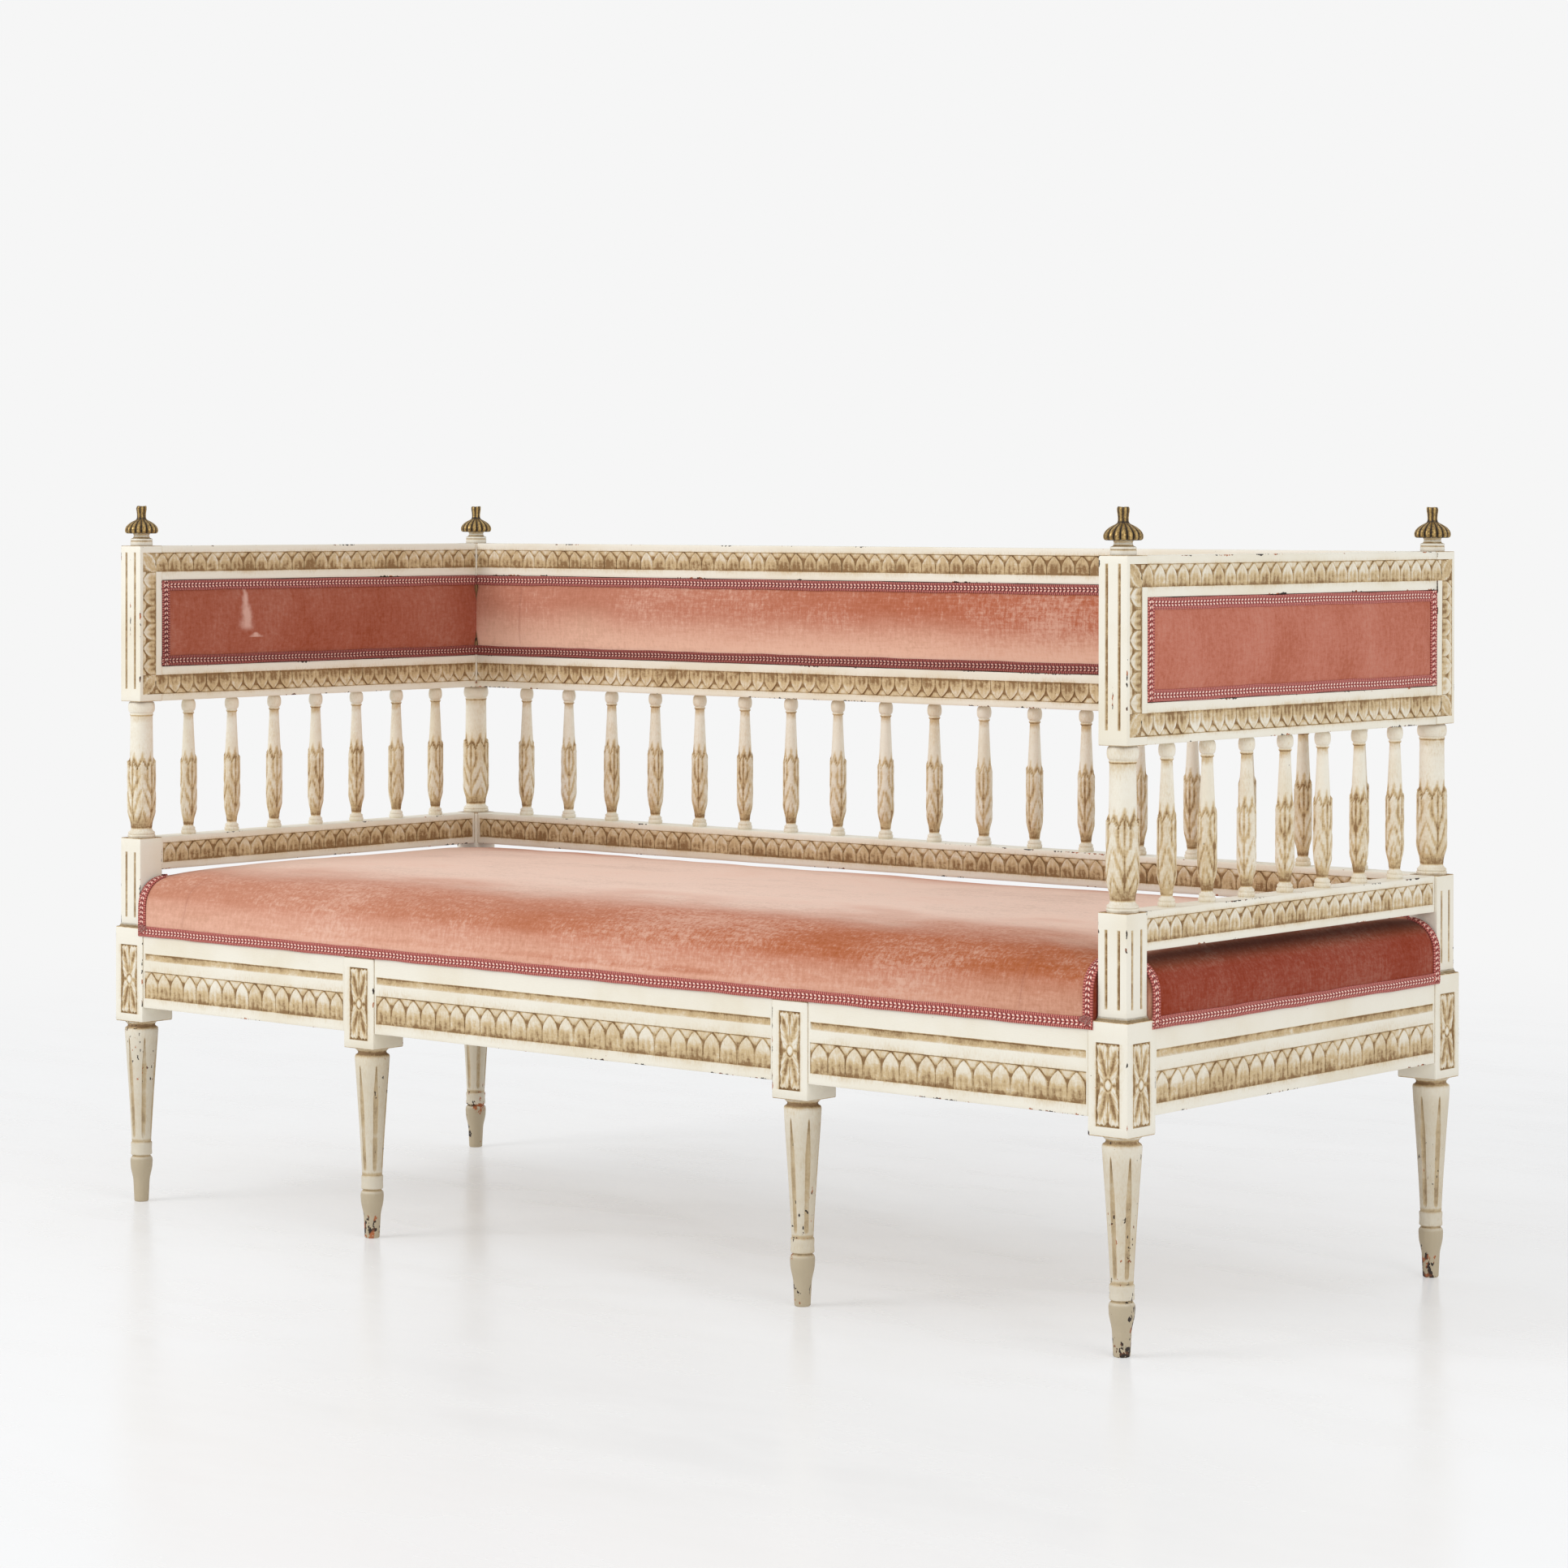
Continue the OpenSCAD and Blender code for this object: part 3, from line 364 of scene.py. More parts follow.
class Graph:
    """Short way to add shader nodes to a tree and to join them."""

    def __init__(self, tree: bpy.types.NodeTree) -> None:
        """Keeps the tree that nodes are added to."""
        self.tree = tree

    def node(self, kind: str, inputs: dict | None = None, **props: object) -> bpy.types.Node:
        """Adds a node.

        Args:
            kind: type of the node.
            inputs: values or output sockets for its inputs, by name or number.
            props: settings of the node itself.

        Returns:
            The node.
        """
        made = self.tree.nodes.new(kind)
        for key, value in props.items():
            setattr(made, key, value)
        for key, value in (inputs or {}).items():
            socket = made.inputs[key]
            if isinstance(value, bpy.types.NodeSocket):
                self.tree.links.new(value, socket)
            elif isinstance(value, tuple) and len(value) == 3 and socket.type == "RGBA":
                socket.default_value = (*value, 1.0)
            else:
                socket.default_value = value
        return made

    def math(self, way: str, *values: object, clamp: bool = False) -> object:
        """Output of a Math node that joins its values in the given way."""
        made = self.node("ShaderNodeMath", dict(enumerate(values)), operation=way, use_clamp=clamp)
        return made.outputs[0]

    def times(self, *values: object) -> object:
        """Product of the values."""
        return reduce(lambda a, b: self.math("MULTIPLY", a, b), values)

    def plus(self, *values: object) -> object:
        """Sum of the values."""
        return reduce(lambda a, b: self.math("ADD", a, b), values)

    def weigh(self, *pairs: tuple[object, float]) -> object:
        """Sum of values, each times its own weight."""
        return self.plus(*(self.times(value, weight) for value, weight in pairs))

    def less(self, a: object, b: object) -> object:
        """The value a less b."""
        return self.math("SUBTRACT", a, b)

    def size(self, value: object) -> object:
        """The value without its sign."""
        return self.math("ABSOLUTE", value)

    def parts(self, vector: object) -> Sequence[object]:
        """X, y and z of a vector."""
        return self.node("ShaderNodeSeparateXYZ", {0: vector}).outputs

    def shared(self, tree: bpy.types.NodeTree, **values: float) -> Sequence[object]:
        """Outputs of a shared node group placed with its own values."""
        return self.node("ShaderNodeGroup", values, node_tree=tree).outputs

    def mix(self, share: object, a: object, b: object) -> object:
        """Colour that goes from a to b with the share."""
        made = self.node("ShaderNodeMix", data_type="RGBA")
        for socket, value in zip((made.inputs[0], made.inputs[6], made.inputs[7]), (share, a, b)):
            if isinstance(value, bpy.types.NodeSocket):
                self.tree.links.new(value, socket)
            else:
                socket.default_value = (*value, 1.0) if isinstance(value, tuple) else value
        return made.outputs[2]

    def noise(self, vector: object, scale: float, detail: float = 3.0, rough: float = 0.55) -> object:
        """Noise value, about 0.5 on average, at the given number of cells per metre."""
        inputs = {"Vector": vector, "Scale": scale, "Detail": detail, "Roughness": rough}
        return self.node("ShaderNodeTexNoise", inputs).outputs[0]

    def stretch(self, vector: object, scale: Vec, turn: Vec = (0.0, 0.0, 0.0)) -> object:
        """Coordinates turned and scaled by a Mapping node."""
        inputs = {"Vector": vector, "Rotation": turn, "Scale": scale}
        return self.node("ShaderNodeMapping", inputs).outputs[0]

    def span(self, value: object, low: float, high: float, a: float = 0.0, b: float = 1.0) -> object:
        """Value that goes smoothly from a to b as the input goes from low to high."""
        inputs = {"Value": value, 1: low, 2: high, 3: a, 4: b}
        return self.node("ShaderNodeMapRange", inputs, interpolation_type="SMOOTHSTEP").outputs[0]

    def mark(self, name: str) -> object:
        """Value of a point attribute."""
        return self.node("ShaderNodeAttribute", attribute_name=name).outputs["Fac"]

    def place(self) -> object:
        """Object coordinates."""
        return self.node("ShaderNodeTexCoord").outputs["Object"]

    def bump(self, height: object, strength: float, reach: float) -> object:
        """Normal tilted by a height, where reach is the height of 1 in metres."""
        inputs = {"Height": height, "Strength": strength, "Distance": reach}
        return self.node("ShaderNodeBump", inputs).outputs[0]

    def deepen(self, colour: object, keep: float, share: object, rich: float = 1.1) -> object:
        """Darkens a colour: towards keep times itself, by the share, and rich times as strong."""
        inputs = {"Value": keep, "Saturation": rich, "Color": colour}
        return self.mix(share, colour, self.node("ShaderNodeHueSaturation", inputs).outputs[0])

    def shader(
        self, colour: object, rough: object, normal: object = None, metal: object = 0.0,
        gloss: float = 0.5, sheen: Sequence[object] = (),
    ) -> bpy.types.Node:
        """Adds a Principled shader.

        Args:
            colour: its colour.
            rough: its roughness.
            normal: its normal, if it has one of its own.
            metal: how metallic it is.
            gloss: its specular level.
            sheen: weight, roughness and tint of its sheen, as many as it needs.

        Returns:
            The shader.
        """
        inputs = {"Base Color": colour, "Roughness": rough, "Metallic": metal}
        inputs["Specular IOR Level"] = gloss
        inputs.update(zip(("Sheen Weight", "Sheen Roughness", "Sheen Tint"), sheen))
        if normal is not None:
            inputs["Normal"] = normal
        return self.node("ShaderNodeBsdfPrincipled", inputs)

    def blend(self, share: object, a: bpy.types.Node, b: bpy.types.Node) -> bpy.types.Node:
        """Adds a shader that goes from a to b with the share."""
        return self.node("ShaderNodeMixShader", {0: share, 1: a.outputs[0], 2: b.outputs[0]})


def group(
    name: str,
    inputs: dict[str, float],
    outputs: Sequence[str],
    fill: Callable[[Graph, dict[str, object]], dict[str, object]],
) -> bpy.types.NodeTree:
    """Builds a shader node group of values, once.

    Args:
        name: name of the group.
        inputs: input sockets and their defaults.
        outputs: output sockets, all of them values.
        fill: adds the nodes, from the input sockets by name, and returns the outputs by name.

    Returns:
        The node group.
    """
    tree = bpy.data.node_groups.new(name, "ShaderNodeTree")
    for key, value in inputs.items():
        socket = tree.interface.new_socket(key, in_out="INPUT", socket_type="NodeSocketFloat")
        socket.default_value = value
    for key in outputs:
        tree.interface.new_socket(key, in_out="OUTPUT", socket_type="NodeSocketFloat")
    graph = Graph(tree)
    source = tree.nodes.new("NodeGroupInput")
    sink = tree.nodes.new("NodeGroupOutput")
    made = fill(graph, {key: source.outputs[key] for key in inputs})
    for key, socket in made.items():
        tree.links.new(socket, sink.inputs[key])
    return tree


def _chips(g: Graph, given: dict[str, object]) -> dict[str, object]:
    """Chips where noise passes a limit that falls on worn edges, and rare specks anywhere."""
    place = g.place()
    cells = g.noise(g.stretch(place, (1.0, 1.0, 0.55)), 190.0, 2.0, 0.6)
    patches = g.span(g.noise(place, 14.0, 2.0), 0.47, 0.63)
    edge = g.span(g.plus(cells, g.times(g.mark("wear"), patches, given["Amount"])), 0.82, 0.85)
    specks = g.span(g.noise(place, 330.0, 1.0), 0.805, 0.83)
    rare = g.times(specks, g.span(g.noise(place, 9.0, 1.0), 0.52, 0.6))
    return {"Mask": g.math("MAXIMUM", edge, rare), "Kind": g.noise(place, 60.0, 1.0)}


def _wash(g: Graph, given: dict[str, object]) -> dict[str, object]:
    """Brown wash left in the carving: the wash mark broken up by streaks and blotches."""
    place = g.place()
    blotch = g.noise(place, 95.0, 4.0, 0.6)
    wide = g.noise(place, 17.0, 2.0)
    fine = g.noise(g.stretch(place, (1.0, 1.0, 0.3)), 620.0, 2.0)
    chatter = g.noise(g.stretch(place, (0.35, 0.35, 1.0)), 470.0, 2.0)
    rub = g.weigh((blotch, 0.95), (wide, 0.6), (fine, 0.36), (chatter, 0.36))
    gain = g.math("MULTIPLY_ADD", rub, 1.8, -1.06)
    film = g.times(g.span(g.plus(wide, fine), 0.9, 1.35), 0.1)
    thick = g.times(g.mark("wash"), gain, given["Strength"])
    return {"Mask": g.math("ADD", thick, film, clamp=True)}


def _brush(g: Graph, given: dict[str, object]) -> dict[str, object]:
    """Fine streaks of a brush drawn along the wood, and slow change of tone."""
    place = g.place()
    lines = g.noise(g.stretch(place, (0.18, 0.18, 1.0)), 760.0, 3.0, 0.6)
    height = g.weigh((lines, 0.7), (g.noise(place, 420.0, 2.0), 0.3))
    return {"Height": height, "Tone": g.times(g.noise(place, 6.0, 4.0), given["Tone"])}


def _nap(g: Graph, given: dict[str, object]) -> dict[str, object]:
    """Short pile: threads along the sofa and up it, fine mottle and brushed patches."""
    place = g.place()
    warp = g.noise(g.stretch(place, (1.0, 1.0, 0.14)), 260.0, 3.0, 0.75)
    weft = g.noise(g.stretch(place, (0.1, 0.3, 1.0)), 300.0, 3.0, 0.75)
    mottle = g.noise(place, 170.0, 4.0, 0.75)
    cloud = g.noise(g.stretch(place, (0.4, 1.0, 0.6)), 15.0, 4.0, 0.52)
    broad = g.noise(g.stretch(place, (0.7, 1.0, 0.5)), 4.0, 2.0)
    pile = g.weigh((warp, 0.33), (weft, 0.27), (mottle, 0.4))
    return {"Pile": g.times(pile, given["Gain"]), "Patch": g.weigh((cloud, 0.55), (broad, 0.45))}


def _weave(g: Graph, given: dict[str, object]) -> dict[str, object]:
    """Plain weave: half of one plus the product of two crossed sines, of the given pitch."""
    turns = g.math("DIVIDE", 2 * math.pi, given["Pitch"])
    one, two = (g.math("SINE", g.times(way, turns)) for way in g.parts(g.place())[:2])
    return {"Height": g.math("MULTIPLY_ADD", g.times(one, two), 0.5, 0.5)}


@dataclass(frozen=True)
class Finish:
    """A procedural material; each kind of finish adds its own nodes."""

    name: str

    def build(self, groups: "Groups") -> bpy.types.Material:
        """Makes the material.

        Args:
            groups: the shared node groups.

        Returns:
            The material.
        """
        material = bpy.data.materials.new(self.name)
        material.use_nodes = True
        material.node_tree.nodes.clear()
        g = Graph(material.node_tree)
        g.node("ShaderNodeOutputMaterial", {0: self.dress(g, groups).outputs[0]})
        return material

    def dress(self, g: Graph, groups: "Groups") -> bpy.types.Node:
        """Adds the finish's nodes, and gives its shader."""
        raise NotImplementedError


@dataclass(frozen=True)
class PaintFinish(Finish):
    """Old cream paint, brown wash in its hollows, chipped at its edges."""

    cream: Colour = srgb(241, 236, 222)
    aged: Colour = srgb(229, 218, 193)
    tan: Colour = srgb(206, 180, 136)
    brown: Colour = srgb(134, 98, 54)
    toe: Colour = srgb(184, 169, 142)
    chip: Colour = srgb(46, 34, 26)
    bare: Colour = srgb(176, 104, 62)
    wear: float = 0.36
    rough: float = 0.42

    def dress(self, g: Graph, groups: "Groups") -> bpy.types.Node:
        """Adds the paint: coats from cream to brown, greyer legs and toes, and chips."""
        streaks, tone = g.shared(groups.brush, Tone=1.0)
        wash = g.shared(groups.wash)[0]
        mask, kind = g.shared(groups.chips, Amount=self.wear)
        base = g.mix(g.span(tone, 0.42, 0.75, 0.0, 0.75), self.cream, self.aged)
        light = g.mix(g.span(wash, 0.02, 0.5), base, self.tan)
        full = g.mix(g.span(wash, 0.42, 1.0), light, self.brown)
        low = g.parts(g.place())[2]
        grime = g.times(g.span(low, 0.0625, 0.0575), g.span(wash, 0.0, 0.12, 0.8, 0.95))
        full = g.mix(g.span(low, 0.268, 0.2, 0.1, 0.5), full, self.toe)
        full = g.mix(grime, full, self.toe)
        under = g.mix(g.span(kind, 0.5, 0.62), self.chip, self.bare)
        rough = g.plus(self.rough, g.weigh((wash, 0.3), (tone, 0.14)))
        height = g.plus(streaks, g.weigh((wash, -0.5), (mask, -2.2)))
        return g.shader(g.mix(mask, full, under), rough, g.bump(height, 0.35, 0.00045), gloss=0.4)


@dataclass(frozen=True)
class GiltFinish(Finish):
    """Dark antique gilding: pale gold on the ribs, near black in the grooves."""

    gold: Colour = srgb(196, 166, 108)
    dull: Colour = srgb(122, 96, 52)
    dark: Colour = srgb(40, 29, 18)

    def dress(self, g: Graph, groups: "Groups") -> bpy.types.Node:
        """Adds the gilding, rubbed on the ribs and dull and dark between them."""
        place = g.place()
        rub = g.plus(g.mark("wash"), g.times(g.noise(place, 420.0, 3.0), 0.7))
        dim = g.mix(g.span(rub, 0.45, 0.8), self.gold, self.dull)
        colour = g.mix(g.span(rub, 0.78, 1.15), dim, self.dark)
        normal = g.bump(g.noise(place, 900.0, 3.0), 0.4, 0.0005)
        shine = g.span(rub, 0.55, 1.0, 0.85, 0.1)
        return g.shader(colour, g.span(rub, 0.4, 1.1, 0.36, 0.75), normal, metal=shine)


@dataclass(frozen=True)
class VelvetFinish(Finish):
    """Worn short pile velvet with painted light in its colour: paler where a face looks up (painted
    sheen), darker on the roll and on faces that look to the ends (painted shade), where set painted side
    light, and a painted shadow under the arms' rails.
    """

    # Colours: face and low for upright faces, blended by height over fade; top (painted sheen) where a
    # face looks up near the middle; roll (painted shade) on sloping faces; end (painted shade) on faces
    # that look to the ends.
    face: Colour = srgb(198, 132, 106)
    low: Colour = srgb(218, 164, 140)
    fade: tuple[float, float] = (0.384, 0.432)
    top: Colour = srgb(244, 218, 201)
    roll: Colour = srgb(185, 113, 82)
    end: Colour = srgb(154, 76, 60)
    # Height in metres of the painted shadow under the arms' lower rails; 2.0 puts it out of reach.
    rail_shadow: float = 0.442
    # Whether painted side light is added: paler towards the left end, painted shade towards the right
    # end, less on top faces.
    drift: bool = True
    patches: tuple[tuple[Vec, Vec], ...] = ()

    def dress(self, g: Graph, groups: "Groups") -> bpy.types.Node:
        """Adds the velvet: painted sheen and shade by the way a face looks, painted side light and rail
        shadow, its nap, seams and rubbed patches.
        """
        pile, patch = g.shared(groups.nap, Gain=1.0)
        normal = g.node("ShaderNodeNewGeometry").outputs["Normal"]
        endways, _, up = g.parts(normal)
        # Colour by the way a face looks is painted sheen and shade: paler on top, darker on the roll and
        # on the ends.
        ends = g.span(g.size(endways), 0.4, 0.85)
        x, y, z = g.parts(g.place())
        drift = g.less(patch, 0.5)
        face = g.mix(g.span(g.math("MULTIPLY_ADD", drift, 0.09, z), *self.fade), self.low, self.face)
        colour = g.mix(g.span(up, 0.2, 0.62), face, self.roll)
        loose = g.plus(g.size(y), g.times(drift, 0.34))
        above = g.times(g.span(up, 0.925, 0.99), g.span(loose, 0.34, 0.13))
        colour = g.mix(ends, g.mix(above, colour, self.top), self.end)
        tone = g.weigh((pile, 0.88), (patch, 0.6))
        shaded = g.deepen(colour, 0.79, g.times(g.span(tone, 0.77, 0.58), 0.85), 1.12)
        lit = g.mix(g.times(g.span(tone, 0.72, 0.9), 0.52), shaded, srgb(234, 196, 176))
        dark = g.deepen(colour, 0.8, g.times(g.span(tone, 0.77, 0.58), 0.85))
        # Faces that look to the ends are darkened once more: painted shade.
        lit = g.mix(g.times(ends, 0.75), lit, dark)
        # Painted side light: paler towards the left end, painted shade towards the right end, less on
        # top faces.
        if self.drift:
            lit = g.mix(g.span(x, 0.3, -0.8, 0.0, 0.2), lit, srgb(238, 202, 182))
            under = g.times(g.span(above, 0.0, 1.0, 1.0, 0.2), g.span(x, 0.1, 0.8, 0.0, 0.5))
            lit = g.mix(under, lit, g.deepen(lit, 0.76, 1.0))
        # Painted shadow under the arms' lower rails: near black on the seat's ends just below that
        # height.
        edge = g.span(z, self.rail_shadow - 0.014, self.rail_shadow + 0.004)
        rail_shadow = g.times(g.span(g.size(x), 0.804, 0.826), edge, 0.85)
        lit = g.mix(rail_shadow, lit, srgb(52, 18, 14))
        # Seams, from the wash mark: darker along the stitch line, partly its thread and partly painted
        # shade in the seam's crease.
        colour = g.mix(g.times(g.mark("wash"), 0.38), lit, srgb(128, 66, 52))
        if self.patches:
            colour = g.mix(self.worn(g), colour, srgb(232, 192, 178))
        bump = g.bump(g.plus(pile, g.times(patch, 0.6)), 0.45, 0.0009)
        return g.shader(colour, 0.92, bump, gloss=0.12, sheen=(0.25, 0.35, srgb(235, 180, 165)))

    def worn(self, g: Graph) -> object:
        """Mask of the pale rubbed patches: spikes that grow wider downwards, with soft rims."""
        place = g.place()
        ragged = g.times(g.less(g.noise(place, 90.0, 3.0), 0.5), 1.3)
        shares = []
        for middle, reach in self.patches:
            inputs = {"Vector": place, "Location": tuple(-m / r for m, r in zip(middle, reach))}
            inputs["Scale"] = tuple(1 / r for r in reach)
            x, y, z = g.parts(g.node("ShaderNodeMapping", inputs).outputs[0])
            aside = g.math("DIVIDE", g.size(y), g.math("MULTIPLY_ADD", z, -0.4, 0.6))
            ends = g.times(g.span(z, -1.1, -0.8), g.span(z, 1.2, 0.5), g.span(g.size(x), 1.5, 1.0))
            shares.append(g.times(g.span(g.plus(aside, ragged), 1.15, 0.05), ends))
        return g.times(g.math("MAXIMUM", *shares), 0.66)


@dataclass(frozen=True)
class GimpFinish(Finish):
    """Woven braid: fine cords at both edges and two rows of pale stitches between them."""

    rose: Colour = srgb(214, 100, 86)
    pale: Colour = srgb(255, 228, 212)
    deep: Colour = srgb(122, 38, 34)
    pitch: float = 6.4
    # Share of painted shade on the lower runs of the braid.
    low_run_shade: float = 0.0

    def dress(self, g: Graph, groups: "Groups") -> bpy.types.Node:
        """Adds the cords, the stitches and the dark lines, along and across the braid, and a painted
        shadow at its outer edges.
        """
        along, far = g.mark("along"), g.size(g.mark("across"))
        fuzz = g.noise(g.place(), 1100.0, 2.0, 0.7)
        ribs = self.rows(g, g.plus(along, fuzz), self.pitch / 2)
        stitches = self.rows(g, g.plus(along, g.times(far, 5.0)), self.pitch)
        row = g.times(g.span(far, 0.08, 0.16), g.span(far, 0.46, 0.38))
        dash = g.times(g.span(stitches, 0.52, 0.74), row)
        cords = g.mix(g.span(ribs, 0.1, 0.55), self.deep, self.rose)
        cords = g.mix(g.times(g.span(ribs, 0.6, 1.0), 0.22), cords, self.pale)
        inner = g.mix(dash, g.mix(g.span(stitches, 0.5, 0.2), self.rose, self.deep), self.pale)
        colour = g.mix(g.span(far, 0.5, 0.56), inner, cords)
        lines = g.span(far, 0.06, 0.02)
        for spot in (0.52, 0.76):
            lines = g.math("MAXIMUM", lines, g.span(g.size(g.less(far, spot)), 0.045, 0.02))
        # The dark lines are the braid's own pattern; the darkening at its outer edges is a painted
        # shadow along the braid's rim.
        for share in (g.times(lines, 0.65), g.times(g.span(far, 0.9, 1.0), 0.7)):
            colour = g.mix(share, colour, self.deep)
        # Lower runs darker by height: painted shade.
        if self.low_run_shade:
            shade = g.span(g.parts(g.place())[2], 0.86, 0.76, 0.0, self.low_run_shade)
            colour = g.deepen(colour, 0.66, shade)
        bump = g.bump(g.less(g.weigh((ribs, 0.6), (dash, 1.2)), lines), 0.7, 0.0009)
        return g.shader(colour, 0.62, bump, sheen=(0.1,))

    @staticmethod
    def rows(g: Graph, value: object, pitch: float) -> object:
        """Rounded rows, from 0 to 1, that repeat at the pitch in mm."""
        wave = g.math("SINE", g.times(value, 2 * math.pi / pitch))
        return g.math("MULTIPLY_ADD", wave, 0.5, 0.5)


@dataclass(frozen=True)
class SimpleFinish(Finish):
    """Plain stuff of the parts that are seen only from below: wood, jute or steel."""

    light: Colour
    dark: Colour
    rough: float
    grain: Vec = (1.0, 1.0, 1.0)
    scale: float = 200.0
    metal: float = 0.0
    pitch: float = 0.0

    def dress(self, g: Graph, groups: "Groups") -> bpy.types.Node:
        """Adds grain, and a weave where a pitch is given."""
        lines = g.noise(g.stretch(g.place(), self.grain), self.scale, 4.0, 0.6)
        if self.pitch:
            weave = g.shared(groups.weave, Pitch=self.pitch * MM)[0]
            lines = g.times(g.plus(lines, weave), 0.5)
        colour = g.mix(g.span(lines, 0.3, 0.7), self.dark, self.light)
        rough = g.span(lines, 0.2, 0.8, self.rough + 0.1, self.rough - 0.1)
        return g.shader(colour, rough, g.bump(lines, 0.5, 0.0006), metal=self.metal)


@dataclass(frozen=True)
class FloorFinish(Finish):
    """Pale studio floor with a faint gloss, with painted glow near the sofa that lightens its shadow,
    turning to plain white away from the sofa.
    """

    def dress(self, g: Graph, groups: "Groups") -> bpy.types.Node:
        """Adds the glossy floor near the sofa, mixed with some painted glow, and the plain white round
        it.
        """
        place = g.place()
        tone = g.noise(g.stretch(place, (1.0, 2.5, 1.0)), 3.0, 5.0, 0.6)
        colour = g.mix(g.span(tone, 0.35, 0.7), (0.95, 0.95, 0.95), (0.93, 0.928, 0.923))
        near = g.shader(colour, g.span(tone, 0.3, 0.7, 0.18, 0.3), gloss=0.3)
        glow = g.node("ShaderNodeEmission", {"Color": srgb(246, 246, 246), "Strength": 1.0})
        away = g.node("ShaderNodeVectorMath", {0: place}, operation="LENGTH").outputs["Value"]
        # Near the sofa the floor is still 36% glow, which lightens the sofa's shadow: painted light.
        return g.blend(g.span(away, 1.4, 4.0, 0.36, 1.0), near, glow)


@dataclass(frozen=True)
class Groups:
    """The node groups that several materials share."""

    chips: bpy.types.NodeTree
    wash: bpy.types.NodeTree
    brush: bpy.types.NodeTree
    nap: bpy.types.NodeTree
    weave: bpy.types.NodeTree

    @classmethod
    def build(cls) -> "Groups":
        """Makes the groups."""
        return cls(
            group("edge_chips", {"Amount": 0.3}, ("Mask", "Kind"), _chips),
            group("brown_wash", {"Strength": 1.0}, ("Mask",), _wash),
            group("brush_marks", {"Tone": 1.0}, ("Height", "Tone"), _brush),
            group("velvet_nap", {"Gain": 1.0}, ("Pile", "Patch"), _nap),
            group("plain_weave", {"Pitch": 0.002}, ("Height",), _weave),
        )


@dataclass(frozen=True)
class Row:
    """A line along a bar's face.

    pos is its place across the face, sink how far it lies under the face inside its window,
    wash and wear its marks there, and window the number of that window.
    """

    pos: float
    sink: float = 0.0
    wash: float = 0.0
    wear: float = 0.0
    window: int = 0


@dataclass(frozen=True)
class Window:
    """Stretch of a bar, from low to high, in which rows are sunk; round ones fade like a ball."""

    low: float
    high: float
    ramp: float = 0.35
    round: bool = False
    twin: tuple[float, float] | None = None

    def stretches(self) -> list[tuple[float, float]]:
        """Its stretches, one or two."""
        return [(self.low, self.high)] + ([self.twin] if self.twin else [])

    def depth(self, s: Array) -> Array:
        """Share of the sink at stations s: 0 outside, 1 inside, a slope or an arc at the ends."""
        t = np.zeros(len(s))
        for low, high in self.stretches():
            t = np.maximum(t, np.clip(np.minimum(s - low, high - s) / self.ramp, 0.0, 1.0))
        return np.sqrt(1.0 - (1.0 - t) ** 2) if self.round else t

    def stations(self) -> Array:
        """Stations that the window needs."""
        steps = np.array([0.0, 0.12, 0.4, 0.7, 1.0] if self.round else [0.0, 1.0]) * self.ramp
        ends = [part for low, high in self.stretches() for part in (low + steps, high - steps)]
        return np.concatenate(ends)


class Face(Enum):
    """Face of a bar's section, named in the order in which its outline goes round."""

    LOW = 0
    RIGHT = 1
    HIGH = 2
    LEFT = 3


